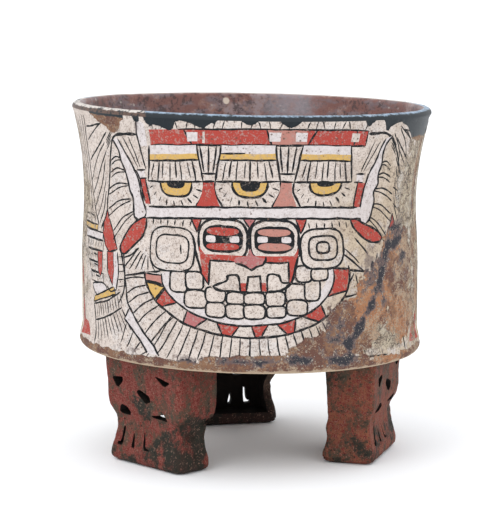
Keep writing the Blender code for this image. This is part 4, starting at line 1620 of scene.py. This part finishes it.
@dataclass
class StuccoedWall:
    """The bowl's painted outer wall, from the basal edge up to the lip."""

    form: VesselForm
    wear: Wear = field(default_factory=Wear)
    left: float = -294.6
    grid: float = 2.0
    edge_grid: float = 0.9
    coat: float = 0.00042
    wave_depth: float = 0.00010
    least_gap: float = 0.012
    levels: int = 46

    def chart(self) -> Chart:
        """The empty chart of the wall."""
        return Chart(self.left, self.left + GIRTH, self.form.bead_foot / MM, self.form.lip_height / MM)

    def painted(self) -> Chart:
        """The chart with two masks and two side figures, plainer on the hidden side.

        Returns:
            The chart.
        """
        chart = self.chart()
        quarter = (chart.right - chart.left) / 4
        for origin, mirrored, plain in ((-quarter, False, False), (quarter, True, True)):
            chart.stand_at(origin, mirrored)
            SideFigure(plain=plain).paint(chart)
        for origin, plain in ((-2 * quarter, True), (0.0, False)):
            chart.stand_at(origin)
            GoggledMask(plain=plain).paint(chart)
        return chart

    def scattered(self, chart: Chart) -> np.ndarray:
        """Points between the painted outlines: an even net, closer where the stucco breaks off.

        Args:
            chart: The painted chart.

        Returns:
            Rows of x and h.
        """
        across = np.arange(chart.left + self.grid, chart.right - 0.5 * self.grid, self.grid)
        up = np.arange(chart.bottom + self.grid, chart.top - 0.5 * self.grid, self.grid * 0.87)
        net = np.array([(x + 0.5 * self.grid * (row % 2), h)
                        for row, h in enumerate(up) for x in across[:-1]])
        across = np.arange(chart.left + 1.0, chart.right - 1.0, self.edge_grid)
        up = np.arange(chart.bottom + 0.8, chart.top - 0.6, self.edge_grid)
        close = np.array([(x + 0.45 * (row % 2), h) for row, h in enumerate(up) for x in across])
        loss = self.wear.loss(close, self.form)
        return np.concatenate([net, close[np.abs(loss - 0.5) < 0.13]])

    def border(self, chart: Chart) -> tuple[np.ndarray, list[tuple[int, int]]]:
        """The chart's edge: as many points along it as the rings above and below have, and equal ends.

        Args:
            chart: The chart.

        Returns:
            The points, and the edges between them.
        """
        columns = np.linspace(chart.left, chart.right, self.form.columns + 1)
        rows = np.linspace(chart.bottom, chart.top, self.levels + 1)[1:-1]
        points = ([(x, chart.bottom) for x in columns] + [(chart.right, h) for h in rows]
                  + [(x, chart.top) for x in columns[::-1]] + [(chart.left, h) for h in rows[::-1]])
        count = len(points)
        return np.array(points), [(index, (index + 1) % count) for index in range(count)]

    def shell(self) -> Shell:
        """Triangulate the chart, colour it and roll it up.

        Returns:
            The surface, ready to be joined.
        """
        chart = self.painted()
        border, edges = self.border(chart)
        inside = []
        count = len(border)
        margin = 0.02
        for outline in chart.outlines:
            rows = outline.copy()
            rows[:, 0] = np.clip(rows[:, 0], chart.left + margin, chart.right - margin)
            rows[:, 1] = np.clip(rows[:, 1], chart.bottom + margin, chart.top - margin)
            inside.append(rows)
            edges += [(count + index, count + (index + 1) % len(rows)) for index in range(len(rows))]
            count += len(rows)
        points = np.concatenate([border, *inside, self.scattered(chart)])
        LOG.info("chart: %d outlines, %d points in", len(chart.outlines), len(points))
        cut, _, triangles, *_ = delaunay_2d_cdt([Vector(point) for point in points], edges, [], 0,
                                                self.least_gap)
        places = np.array([tuple(point) for point in cut])
        corners = np.array([tuple(face) for face in triangles])
        middles = places[corners].mean(axis=1)
        pigment, paint = self.coloured(chart, middles)

        values = self.wear.values(places, self.form)
        seam = places[:, 0] > chart.right - 1e-4
        angle = np.where(seam, chart.left, places[:, 0]) * MM / CHART_RADIUS
        height = places[:, 1] * MM
        edge = np.minimum(places[:, 1] - chart.bottom, chart.top - places[:, 1])
        waves = fractal(self.wear.rolled(places), 9.0, 3, 5.5)
        sunk = self.coat * smooth_step(values["loss"], 0.36, 0.60) + self.wave_depth * (0.5 + 0.5 * waves)
        radius = self.form.radius(height) - sunk * smooth_step(edge, 0.0, 1.2)
        rolled = self.form.place(angle, radius, height)
        return Shell(rolled, [tuple(face) for face in corners], [Slot.WALL.value] * len(corners), values,
                     pigment, paint)

    def coloured(self, chart: Chart, middles: np.ndarray) -> tuple[np.ndarray, np.ndarray]:
        """Find the topmost paint over each triangle.

        Args:
            chart: The painted chart.
            middles: The triangles' middles.

        Returns:
            A colour and a share of paint for each triangle.
        """
        colour = np.tile(np.array([*Pigment.STUCCO.value[:3], 1.0]), (len(middles), 1))
        paint = np.zeros(len(middles))
        order = np.argsort(middles[:, 0])
        sorted_x = middles[order, 0]
        for outline, pigment in zip(chart.outlines, chart.pigments):
            low, high = outline.min(axis=0), outline.max(axis=0)
            near = order[np.searchsorted(sorted_x, low[0]):np.searchsorted(sorted_x, high[0])]
            near = near[(middles[near, 1] >= low[1]) & (middles[near, 1] <= high[1])]
            if not len(near):
                continue
            start, end = outline, np.roll(outline, -1, axis=0)
            px, ph = middles[near, 0][:, None], middles[near, 1][:, None]
            rising = (start[:, 1] <= ph) & (end[:, 1] > ph)
            falling = (start[:, 1] > ph) & (end[:, 1] <= ph)
            side = ((end[:, 0] - start[:, 0]) * (ph - start[:, 1])
                    - (px - start[:, 0]) * (end[:, 1] - start[:, 1]))
            winding = (rising & (side > 0)).sum(axis=1) - (falling & (side < 0)).sum(axis=1)
            hit = near[winding != 0]
            colour[hit, :3] = pigment.value[:3]
            paint[hit] = pigment.value[3]
        return colour, paint


@dataclass
class TurnedRest:
    """The turned surfaces without painting: the lip and inside, and the rounded basal edge."""

    form: VesselForm
    lip_steps: int = 9
    inner_steps: int = 16
    corner_steps: int = 6
    floor_steps: int = 5
    basal_steps: int = 6
    painted_steps: int = 3

    def ring_angles(self) -> np.ndarray:
        """Angles of the columns, the same as those of the wall's borders."""
        start = StuccoedWall(self.form).left * MM / CHART_RADIUS
        return start + np.arange(self.form.columns) * 2 * pi / self.form.columns

    def inner_profile(self) -> list[Point]:
        """From the outer side of the lip, over it, down the inner wall and along the floor.

        Returns:
            Rows of radius and height.
        """
        form = self.form
        lip = 0.5 * form.wall
        points = []
        for step in range(self.lip_steps + 1):
            angle = pi * step / self.lip_steps
            points.append((form.rim_radius - lip + lip * cos(angle), form.lip_height + lip * sin(angle)))
        floor = form.foot_height + form.floor
        corner = floor + form.inner_corner
        for step in range(1, self.inner_steps + 1):
            z = form.lip_height + (corner - form.lip_height) * step / self.inner_steps
            points.append((float(form.radius(z)) - form.wall, z))
        centre = points[-1][0] - form.inner_corner
        for step in range(1, self.corner_steps + 1):
            angle = 0.5 * pi * step / self.corner_steps
            points.append((centre + form.inner_corner * cos(angle), corner - form.inner_corner * sin(angle)))
        for step in range(1, self.floor_steps):
            points.append((centre * (1.0 - step / self.floor_steps), floor))
        return points

    def turned(self, profile: list[Point], centre_height: float | None,
               downward: bool) -> tuple[np.ndarray, list]:
        """Turn a profile into rings and faces.

        Args:
            profile: Rows of radius and height.
            centre_height: Height of a closing middle point, or None for an open end.
            downward: Whether the faces are wound the other way.

        Returns:
            Points in the frame, and faces.
        """
        angles = self.ring_angles()
        count = len(angles)
        rings = [self.form.place(angles, np.full(count, radius), np.full(count, z)) for radius, z in profile]
        faces = []
        for ring in range(len(profile) - 1):
            for column in range(count):
                after = (column + 1) % count
                face = (ring * count + column, ring * count + after,
                        (ring + 1) * count + after, (ring + 1) * count + column)
                faces.append(face[::-1] if downward else face)
        if centre_height is not None:
            rings.append(self.form.place(np.zeros(1), np.zeros(1), np.array([centre_height])))
            last, middle = (len(profile) - 1) * count, len(profile) * count
            for column in range(count):
                face = (last + column, last + (column + 1) % count, middle)
                faces.append(face[::-1] if downward else face)
        return np.concatenate(rings), faces

    def lip_and_inside(self) -> Shell:
        """The burnished lip and the bowl's inside.

        Returns:
            The surface, ready to be joined.
        """
        form = self.form
        points, faces = self.turned(self.inner_profile(), form.foot_height + form.floor, False)
        height = points[:, 2] + points[:, 0] * tan(form.lean)
        distance = np.hypot(points[:, 0] - form.base_offset * (1.0 - form.flare(height)), points[:, 1])
        inner_lip = form.rim_radius - form.wall
        outward = smooth_step(distance, inner_lip + 0.15 * form.wall, inner_lip + 0.45 * form.wall)
        slip = np.where(height > form.lip_height - 0.002, outward, 0.0)
        lumps = fractal(points, 0.016, 3, 2.2)
        dents = fractal(points, 0.005, 2, 9.1)
        inside = smooth_step(-height, -(form.lip_height - 0.001), -(form.lip_height - 0.012))
        middle = np.stack([np.full(len(points), form.base_offset), np.zeros(len(points)), points[:, 2]],
                          axis=1)
        inward = middle - points
        inward /= np.maximum(np.linalg.norm(inward, axis=1, keepdims=True), 1e-4)
        wall_only = smooth_step(height, form.foot_height + form.floor, form.foot_height + form.floor + 0.004)
        points = points + inward * ((0.00022 * lumps + 0.00008 * dents) * inside * wall_only)[:, None]
        crest = smooth_step(height, form.height - 0.0016, form.height - 0.0002)
        points[:, 2] -= 0.00022 * crest * (0.5 + 0.5 * fractal(points, 0.012, 3, 4.4))
        # Crest mask for rubbed slip on the far side of the lip and for the painted highlight on its near side
        crest_wear_and_sheen = 0.72 * smooth_step(height, form.height - 0.0015, form.height - 0.0004)
        values = {"slip": slip, "rubbed": crest_wear_and_sheen + 0.22 * smooth_step(points[:, 1], 0.030, 0.070)
                  * crest_wear_and_sheen,
                  "behind": smooth_step(points[:, 1] - 0.35 * np.abs(points[:, 0]), -0.020, 0.012),
                  "bared": smooth_step(-points[:, 0], 0.0415, 0.0475)
                  * smooth_step(-points[:, 1], -0.03, 0.0)}
        return Shell(points, faces, [Slot.SLIP.value] * len(faces), values)


@dataclass
class SlabFoot:
    """One hollow slab foot with its waist, its open inner side and its outer openings."""

    form: VesselForm
    name: str
    azimuth: float
    drift: float
    inner_shares: tuple[float, ...]
    width: float = 0.0491
    depth: float = 0.0220
    outer_face: float = 0.06445
    wall: float = 0.0042
    sole: float = 0.0055
    edge_radius: float = 0.0016
    waist_depth: float = 0.0034
    grid: float = 0.0015
    cut_margin: float = 0.004
    stations: tuple[float, ...] = (0.0, 0.06, 0.13, 0.225, 0.315, 0.42, 0.513, 0.62, 0.79, 1.0)
    outer_shares: tuple[float, ...] = (0.42, 0.25, 0.40, 0.80, 1.00, 0.94, 0.32, 0.18, 0.05, -0.10)
    dents: tuple[tuple[float, float, float, float, float, float], ...] = (
        (-0.0212, 0.0465, 0.0210, 0.0050, 0.0026, 0.0022), (-0.0212, 0.0540, 0.0155, 0.0050, 0.0026, 0.0020),
        (-0.0205, 0.0595, 0.0200, 0.0036, 0.0046, 0.0014), (-0.0232, 0.0520, 0.0070, 0.0030, 0.0026, 0.0016),
        (0.0150, 0.0612, 0.0190, 0.0040, 0.0026, 0.0007), (-0.0120, 0.0640, 0.0300, 0.0060, 0.0044, 0.0006),
        (0.0215, 0.0500, 0.0195, 0.0060, 0.0028, 0.0012), (0.0228, 0.0560, 0.0100, 0.0036, 0.0030, 0.0008),
        (0.0060, 0.0430, 0.0180, 0.0110, 0.0024, 0.0010),
    )
    openings: tuple[tuple[Point, ...], ...] = (
        ((0.81, 0.80), (0.52, 0.815), (0.51, 0.775), (0.675, 0.70)),
        ((-0.37, 0.88), (-0.53, 0.875), (-0.775, 0.845), (-0.615, 0.797)),
        ((0.06, 0.727), (-0.215, 0.68), (-0.235, 0.628), (-0.10, 0.60), (0.145, 0.693)),
        ((0.59, 0.55), (0.41, 0.53), (0.345, 0.495), (0.41, 0.448), (0.70, 0.459)),
        ((-0.20, 0.50), (-0.44, 0.516), (-0.54, 0.543), (-0.61, 0.465), (-0.465, 0.475), (-0.255, 0.478)),
        ((0.645, 0.330), (0.575, 0.335), (0.615, 0.150), (0.755, 0.155), (0.745, 0.186), (0.675, 0.190)),
        ((0.36, 0.285), (0.325, 0.278), (0.28, 0.152), (0.375, 0.156)),
        ((0.075, 0.320), (0.03, 0.26), (-0.012, 0.179), (-0.145, 0.158), (0.008, 0.149), (0.066, 0.195)),
    )

    def inset(self, z: float, shares: Sequence[float]) -> float:
        """How far a face lies in at a height, as on the solid but eased between its stations.

        Args:
            z: The height in metres.
            shares: The face's own shares.

        Returns:
            A length in metres.
        """
        share = z / self.form.foot_height
        samples = np.interp([share - 0.02, share, share + 0.02], self.stations, shares)
        return self.waist_depth * float(samples @ np.array([0.25, 0.5, 0.25]))

    def dented(self, places: np.ndarray) -> np.ndarray:
        """How deep each place of the frame is dented, by dents given in the foot's own axes with two reaches.

        Args:
            places: Rows of x, y and z in the frame.

        Returns:
            One depth for each place.
        """
        turn = pi - radians(self.azimuth)
        x, y = places[:, 0] - self.form.base_offset, places[:, 1]
        own = np.stack([x * cos(turn) + y * sin(turn), y * cos(turn) - x * sin(turn), places[:, 2]], axis=1)
        depth = np.zeros(len(places))
        for along, out, up, wide, high, deep in self.dents:
            away = (own - np.array([along, out, up])) / np.array([wide, wide, high])
            depth = np.maximum(depth, deep * smooth_step(-np.linalg.norm(away, axis=1), -1.0, -0.2))
        return depth

    def section(self, z: float, shrink: float, inner_face: float, follows: bool,
                radius: float, step: float) -> list[Triple]:
        """A rounded rectangle at one height, in the foot's own axes (X along, Y outward).

        Args:
            z: The height in metres.
            shrink: How far it lies inside the outer faces.
            inner_face: Where its inner side is.
            follows: Whether the inner side follows its profile.
            radius: Radius of the upright edges.
            step: Length of a face along the sides.

        Returns:
            Rows of x, y and z.
        """
        inset = self.inset(z, self.outer_shares)
        radius += 0.0012 * smooth_step(-z, -0.013, -0.002) if follows else 0.0
        half = 0.5 * self.width - shrink - inset
        outer = self.outer_face - shrink - inset
        inner = inner_face + (self.inset(z, self.inner_shares) if follows else 0.0)
        corners = ((half, outer, 0.0), (-half, outer, 90.0), (-half, inner, 180.0), (half, inner, 270.0))
        path = []
        for x, y, turn in corners:
            centre = (x - np.sign(x) * radius, y - (radius if y == outer else -radius))
            for part in range(4):
                angle = radians(turn + 30.0 * part)
                path.append((centre[0] + radius * cos(angle), centre[1] + radius * sin(angle)))
        sides = []
        full = self.outer_face - shrink - inner_face
        counts = (1, 1, 1, max(round((self.width - 2 * shrink) / step), 1),
                  1, 1, 1, max(round(full / step), 1)) * 2
        for (start, end), count in zip(zip(path, path[1:] + path[:1]), counts):
            for part in range(count):
                share = part / count
                sides.append((start[0] + (end[0] - start[0]) * share,
                              start[1] + (end[1] - start[1]) * share, z))
        return sides

    def loft(self, heights: Sequence[float], shrink: float, inner_face: float, follows: bool, radius: float,
             step: float, rounding: float) -> bmesh.types.BMesh:
        """Stack rounded sections into a closed block with a rounded lower edge.

        Args:
            heights: Where the sections lie.
            shrink: How far the block lies inside the foot's outer faces.
            inner_face: Where its inner side is.
            follows: Whether the inner side follows its own profile or is flat.
            radius: Radius of the upright edges.
            step: Length of a face along the sides.
            rounding: Radius of the lower edge.

        Returns:
            A new mesh.
        """
        work = bmesh.new()
        rings = []
        low = heights[0]
        for height in heights:
            rise = min((height - low) / rounding, 1.0) if rounding else 1.0
            tuck = rounding * (1.0 - (1.0 - (1.0 - rise) ** 2) ** 0.5) if rounding else 0.0
            ring = self.section(height, shrink + tuck, inner_face + tuck, follows, radius, step)
            rings.append([work.verts.new(point) for point in ring])
        count = min(len(ring) for ring in rings)
        for lower, upper in zip(rings, rings[1:]):
            for index in range(count):
                after = (index + 1) % count
                work.faces.new((lower[index], lower[after], upper[after], upper[index]))
        work.faces.new(rings[0][::-1])
        work.faces.new(rings[-1])
        return work

    def outside(self) -> bpy.types.Object:
        """The foot's outer block.

        Returns:
            The block.
        """
        root = self.form.foot_height + 0.5 * self.form.basal_edge - self.middle()[0] * tan(self.form.lean)
        rounding = 0.0024
        arc = [rounding * (1.0 - cos(0.5 * pi * part / 4)) for part in range(5)]
        count = round((root - rounding) / self.grid)
        heights = arc + [rounding + (root - rounding) * part / count for part in range(1, count + 1)]
        work = self.loft(heights, 0.0, self.outer_face - self.depth, True, self.edge_radius, self.grid,
                         rounding)
        return self.placed(work, self.name, Slot.FOOT)

    def hollow(self) -> bpy.types.Object:
        """The cutter of the foot's hollow.

        Returns:
            The cutter.
        """
        top = self.form.foot_height + self.form.basal_edge + self.cut_margin
        count = 16
        heights = [self.sole + (top - self.sole) * part / count for part in range(count + 1)]
        work = self.loft(heights, self.wall, self.outer_face - self.depth - self.cut_margin, False, 0.0012,
                         0.006, 0.0)
        return self.placed(work, self.name + "_hollow", Slot.HOLLOW)

    def opening_cutters(self) -> bpy.types.Object:
        """Prisms for the hand-cut openings, with corners taken off, a little wider outside.

        Returns:
            The cutters.
        """
        work = bmesh.new()
        near = self.outer_face - self.waist_depth - self.wall - 0.002
        far = self.outer_face + self.cut_margin
        for outline in self.openings:
            rows = np.array([(0.5 * self.width * (along + self.drift), self.form.foot_height * up)
                             for along, up in outline])
            after = np.roll(rows, -1, axis=0)
            rows = np.stack([0.84 * rows + 0.16 * after, 0.16 * rows + 0.84 * after], axis=1).reshape(-1, 2)
            area = sum(a[0] * b[1] - b[0] * a[1] for a, b in zip(rows, np.roll(rows, -1, axis=0)))
            rows = rows if area > 0 else rows[::-1]
            middle = rows.mean(axis=0)
            inner = [work.verts.new((x, near, z)) for x, z in middle + (rows - middle) * 0.94]
            outer = [work.verts.new((x, far, z)) for x, z in middle + (rows - middle) * 1.10]
            for index in range(len(rows)):
                other = (index + 1) % len(rows)
                work.faces.new((inner[index], outer[index], outer[other], inner[other]))
            work.faces.new(inner)
            work.faces.new(outer[::-1])
        bmesh.ops.recalc_face_normals(work, faces=work.faces[:])
        return self.placed(work, self.name + "_openings", Slot.HOLLOW)

    def middle(self) -> Point:
        """The foot's middle on the ground.

        Returns:
            Its x and y.
        """
        reach = self.outer_face - 0.5 * self.depth
        turn = radians(self.azimuth)
        return self.form.base_offset - reach * sin(turn), -reach * cos(turn)

    def placed(self, work: bmesh.types.BMesh, name: str, slot: Slot) -> bpy.types.Object:
        """Turn the foot's own axes into the frame's and make an object.

        Args:
            work: A mesh in the foot's own axes.
            name: Its name.
            slot: Its material.

        Returns:
            The object.
        """
        turn = pi - radians(self.azimuth)
        for vertex in work.verts:
            x, y, z = vertex.co
            vertex.co = (x * cos(turn) - y * sin(turn) + self.form.base_offset,
                         x * sin(turn) + y * cos(turn), z)
        for face in work.faces:
            face.material_index = slot.value
        mesh = bpy.data.meshes.new(name)
        work.to_mesh(mesh)
        work.free()
        return linked(name, mesh)


@dataclass
class Underbody:
    """The basal edge, the underside and the three feet, joined into one surface that is open at the wall."""

    form: VesselForm
    rest: TurnedRest
    wear: Wear
    feet: tuple[tuple[str, float, float, tuple[float, ...]], ...] = (
        ("left_foot", 47.1, 0.00, (0.65, 0.53, 0.65, 0.91, 1.00, 0.65, -0.29, -0.41, -0.35, -0.35)),
        ("right_foot", 47.1 - 120.0, -0.08,
         (-0.53, -0.82, -0.56, -0.21, -0.41, 0.00, -0.03, -0.09, -0.15, -0.15)),
        ("back_foot", 47.1 + 120.0, -0.20, (0.41, 0.26, 0.41, 0.79, 1.00, 0.94, 0.32, 0.18, 0.05, -0.10)))
    soiled: tuple[tuple[float, float, float, float, float], ...] = (
        (-0.0275, -0.0525, 0.0100, 0.0210, 1.25), (-0.0246, -0.0480, 0.0200, 0.0120, 0.9),
        (-0.0512, -0.0391, 0.0240, 0.0140, 0.62), (-0.0420, -0.0500, 0.0060, 0.0160, 0.7),
        (0.0560, -0.0020, 0.0120, 0.0140, 0.6))

    def plate(self) -> bpy.types.Object:
        """A closed plate: basal edge and underside, capped where the wall will go on.

        Returns:
            The plate.
        """
        form = self.form
        centre = form.base_radius - form.basal_edge
        profile = []
        for step in range(self.rest.basal_steps + 1):
            angle = 0.5 * pi * step / self.rest.basal_steps
            profile.append((centre + form.basal_edge * cos(angle),
                            form.bead_foot - form.basal_edge * sin(angle)))
        points, faces = self.rest.turned(profile, form.foot_height + form.underside_rise, True)
        faces.append(tuple(range(form.columns)))
        mesh = bpy.data.meshes.new("underside")
        mesh.from_pydata(points.tolist(), [], faces)
        painted = form.columns * self.rest.painted_steps
        mesh.polygons.foreach_set("material_index", [Slot.WALL.value] * painted
                                  + [Slot.SLIP.value] * (len(faces) - painted))
        made = linked("underside", mesh)
        work = bmesh.new()
        work.from_mesh(mesh)
        bmesh.ops.recalc_face_normals(work, faces=work.faces[:])
        work.to_mesh(mesh)
        work.free()
        return made

    def shell(self) -> Shell:
        """Cut the feet, join them to the plate, open its cap and roughen the clay.

        Returns:
            The surface, ready to be joined.
        """
        base = self.plate()
        helpers = [base]
        feet = [SlabFoot(self.form, name, azimuth, drift, shares)
                for name, azimuth, drift, shares in self.feet]
        for foot in feet:
            block, hollow, openings = foot.outside(), foot.hollow(), foot.opening_cutters()
            for cutter in (hollow, openings):
                self.combine(block, "DIFFERENCE", cutter)
            self.combine(base, "UNION", block)
            helpers += [block, hollow, openings]
        bpy.context.view_layer.update()
        shown = base.evaluated_get(bpy.context.evaluated_depsgraph_get())
        mesh = bpy.data.meshes.new_from_object(shown)
        for helper in helpers:
            bpy.data.objects.remove(helper)
        work = bmesh.new()
        work.from_mesh(mesh)
        caps = [face for face in work.faces if all(self.on_cap(vertex.co) for vertex in face.verts)]
        bmesh.ops.delete(work, geom=caps, context="FACES_ONLY")
        bmesh.ops.triangulate(work, faces=[face for face in work.faces if len(face.verts) > 4])
        self.roughen(work, feet)
        points = np.array([tuple(vertex.co) for vertex in work.verts])
        faces = [tuple(vertex.index for vertex in face.verts) for face in work.faces]
        slots = [face.material_index for face in work.faces]
        work.free()
        bpy.data.meshes.remove(mesh)
        form = self.form
        height = points[:, 2] + points[:, 0] * tan(form.lean)
        across = points[:, 0] - form.base_offset
        brim = form.base_radius - 0.6 * form.basal_edge
        rubbed = smooth_step(np.hypot(across, points[:, 1]), brim - 0.004, brim)
        rubbed *= smooth_step(-height, -form.bead_foot + 0.0006, -form.bead_foot + 0.0020)
        unrolled = np.arctan2(across, -points[:, 1]) * CHART_RADIUS / MM
        values = self.wear.values(np.stack([unrolled, height / MM], axis=1), form)
        low = smooth_step(-points[:, 2], -0.024, -0.004) * (0.8 - 0.5 * smooth_step(points[:, 0], 0.0, 0.02))
        for x, y, z, reach, strength in self.soiled:
            away = np.linalg.norm(points - np.array([x, y, z]), axis=1) / reach
            low = np.maximum(low, strength * smooth_step(-away, -1.0, -0.3))
        rear = pi - radians(self.feet[2][1])
        outward = points[:, 1] * cos(rear) - across * sin(rear)
        # behind marks the back foot's inner parts, which the feet's finish darkens with painted shade
        values.update(slip=np.zeros(len(points)), rubbed=rubbed, below=np.ones(len(points)), low=low,
                      behind=smooth_step(points[:, 1], 0.024, 0.034)
                      * smooth_step(-outward, -0.0635, -0.0575))
        return Shell(points, faces, slots, values)

    def on_cap(self, place: Vector) -> bool:
        """Whether a point lies on the plate's cap."""
        return place.z + place.x * tan(self.form.lean) > self.form.bead_foot - 0.00005

    def combine(self, piece: bpy.types.Object, operation: str, other: bpy.types.Object) -> None:
        """Cut or join one block by another.

        Args:
            piece: The piece.
            operation: DIFFERENCE or UNION.
            other: The block that cuts it or joins it.
        """
        modifier = piece.modifiers.new(other.name, "BOOLEAN")
        modifier.operation = operation
        modifier.solver = "EXACT"
        modifier.object = other

    def roughen(self, work: bmesh.types.BMesh, feet: Sequence[SlabFoot]) -> None:
        """Give the feet the unevenness of hand-shaped clay, with their soles left flat.

        Args:
            work: The mesh.
            feet: The feet, for their dents.
        """
        work.verts.ensure_lookup_table()
        work.verts.index_update()
        work.normal_update()
        clay = (Slot.FOOT.value, Slot.HOLLOW.value)
        moved = [vertex for vertex in work.verts
                 if vertex.co.z > 0.0006 and all(face.material_index in clay for face in vertex.link_faces)]
        places = np.array([tuple(vertex.co) for vertex in moved])
        swell = 0.00042 * fractal(places, 0.011, 3, 6.6) + 0.00020 * fractal(places, 0.0036, 2, 1.9)
        for foot in feet:
            swell -= foot.dented(places)
        fade = smooth_step(places[:, 2], 0.0006, 0.0030)
        for vertex, normal, amount in zip(moved, [vertex.normal.copy() for vertex in moved], swell * fade):
            vertex.co += normal * float(amount)


@dataclass
class Vessel:
    """The whole vessel as one closed piece."""

    form: VesselForm
    weld: float = 0.00002
    sharp_angle: float = 48.0

    def build(self) -> bpy.types.Object:
        """Join the wall, the inside and the underbody, weld them and dress the piece.

        Returns:
            The piece.
        """
        stuccoed = StuccoedWall(self.form)
        wall = stuccoed.shell()
        LOG.info("painted wall: %d faces", len(wall.faces))
        rest = TurnedRest(self.form)
        inside = rest.lip_and_inside()
        LOG.info("lip and inside: %d faces", len(inside.faces))
        under = Underbody(self.form, rest, stuccoed.wear).shell()
        LOG.info("underside and feet: %d faces", len(under.faces))
        piece = self.joined("painted_vessel", (wall, inside, under))
        self.dress(piece)
        return piece

    def joined(self, name: str, shells: Sequence[Shell]) -> bpy.types.Object:
        """Make one mesh of several shells, weld their rims and store their values.

        Args:
            name: The piece's name.
            shells: The stretches of its surface.

        Returns:
            The piece.
        """
        points, faces, slots = [], [], []
        start = 0
        for shell in shells:
            points.append(shell.points)
            faces += [tuple(start + index for index in face) for face in shell.faces]
            slots += shell.slots
            start += len(shell.points)
        mesh = bpy.data.meshes.new(name)
        mesh.from_pydata(np.concatenate(points).tolist(), [], faces)
        mesh.polygons.foreach_set("material_index", slots)
        group = np.unique(np.round(np.concatenate(points) / (2 * self.weld)).astype(int), axis=0,
                          return_inverse=True)[1].ravel()
        for value in sorted({value for shell in shells for value in shell.values}):
            given = np.concatenate([shell.values.get(value, np.zeros(len(shell.points)))
                                    for shell in shells])
            greatest = np.zeros(group.max() + 1)
            np.maximum.at(greatest, group, given)
            stored = mesh.attributes.new(value, "FLOAT", "POINT")
            stored.data.foreach_set("value", greatest[group])
        sizes = np.array([len(face) for face in faces])
        colour = np.tile(np.array([*Pigment.STUCCO.value[:3], 1.0]), (len(faces), 1))
        paint = np.zeros(len(faces))
        painted = len(shells[0].faces)
        colour[:painted], paint[:painted] = shells[0].pigment, shells[0].paint
        corner_colour = mesh.attributes.new("pigment", "FLOAT_COLOR", "CORNER")
        corner_colour.data.foreach_set("color", np.repeat(colour, sizes, axis=0).ravel())
        corner_paint = mesh.attributes.new("paint", "FLOAT", "CORNER")
        corner_paint.data.foreach_set("value", np.repeat(paint, sizes))
        work = bmesh.new()
        work.from_mesh(mesh)
        bmesh.ops.remove_doubles(work, verts=work.verts[:], dist=self.weld)
        flaps = [face for face in work.faces if any(len(edge.link_faces) > 2 for edge in face.edges)
                 and any(len(edge.link_faces) == 1 for edge in face.edges)]
        bmesh.ops.delete(work, geom=flaps, context="FACES")
        loose = [vertex for vertex in work.verts if not vertex.link_faces]
        bmesh.ops.delete(work, geom=loose, context="VERTS")
        bmesh.ops.recalc_face_normals(work, faces=work.faces[:])
        open_edges = sum(1 for edge in work.edges if len(edge.link_faces) != 2)
        LOG.info("joined piece: %d faces, %d open edges, volume %.1f cm3", len(work.faces), open_edges,
                 work.calc_volume(signed=True) * 1e6)
        work.to_mesh(mesh)
        work.free()
        mesh.shade_smooth()
        mesh.set_sharp_from_angle(angle=radians(self.sharp_angle))
        return linked(name, mesh)

    def dress(self, piece: bpy.types.Object) -> None:
        """Give the piece its finishes and tie it to the frame.

        Args:
            piece: The vessel's mesh.
        """
        foot = FootFinish()
        for material in (StuccoFinish().material(), SlipFinish().material(), foot.material(),
                         foot.material(hollow=True)):
            piece.data.materials.append(material)
        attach(piece, "root")
        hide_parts(NODE)


@dataclass(frozen=True)
class Studio:
    """A plain pale floor, soft light from the upper left and a camera at the photograph's angle."""

    camera_place: Triple = (-0.00085, -0.95352, 0.21706)
    camera_pitch: float = 7.95
    camera_yaw: float = 0.08
    focal_pixels: float = 2134.97
    frame_pixels: tuple[int, int] = (494, 526)
    sensor: float = 36.0
    floor_reach: float = 6.0
    sky: float = 1.26

    def add_camera(self) -> None:
        """Place the camera."""
        data = bpy.data.cameras.new("camera")
        data.sensor_fit = "AUTO"
        data.sensor_width = self.sensor
        data.lens = self.focal_pixels * self.sensor / max(self.frame_pixels)
        data.clip_start = 0.01
        camera = linked("camera", data)
        camera.location = self.camera_place
        camera.rotation_euler = (radians(90.0 - self.camera_pitch), 0.0, radians(self.camera_yaw))
        bpy.context.scene.camera = camera

    def add_light(self, name: str, place: Triple, size: float, power: float,
                  colour: Triple = (1.0, 1.0, 1.0)) -> None:
        """Place a square soft light that faces the vessel.

        Args:
            name: The light's name.
            place: Where it stands.
            size: Length of its side.
            power: Its power in watts.
            colour: Its colour.
        """
        data = bpy.data.lights.new(name, "AREA")
        data.size = size
        data.energy = power
        data.color = colour
        light = linked(name, data)
        light.location = place
        aim = Vector((0.0, 0.0, 0.09)) - Vector(place)
        light.rotation_euler = aim.to_track_quat("-Z", "Y").to_euler()

    def add_floor(self) -> None:
        """Lay the floor."""
        mesh = bpy.data.meshes.new("floor")
        work = bmesh.new()
        bmesh.ops.create_grid(work, x_segments=8, y_segments=8, size=self.floor_reach)
        work.to_mesh(mesh)
        work.free()
        floor = linked("floor", mesh)
        floor.location.z = -0.0002
        floor.data.materials.append(FloorFinish().material())

    def set_up(self) -> None:
        """Build the whole studio."""
        world = bpy.data.worlds.new("studio")
        world.use_nodes = True
        background = world.node_tree.nodes["Background"]
        background.inputs["Color"].default_value = (0.975, 0.988, 1.0, 1.0)
        background.inputs["Strength"].default_value = self.sky
        bpy.context.scene.world = world
        bpy.context.scene.view_settings.view_transform = "Standard"
        self.add_floor()
        self.add_light("key", (-0.75, -0.95, 1.25), 0.8, 5.0)
        self.add_light("fill", (0.9, -1.1, 0.6), 0.9, 1.0)
        self.add_camera()


def main() -> None:
    """Build the vessel and the studio."""
    logging.basicConfig(level=logging.INFO, format="%(name)s: %(message)s")
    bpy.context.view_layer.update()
    low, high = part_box(NODE)
    form = VesselForm(rim_radius=0.5 * (high[0] - low[0]), top=high[2])
    piece = Vessel(form).build()
    LOG.info("%s done", piece.name)
    Studio().set_up()
    LOG.info("studio done")


if __name__ == "__main__":
    main()
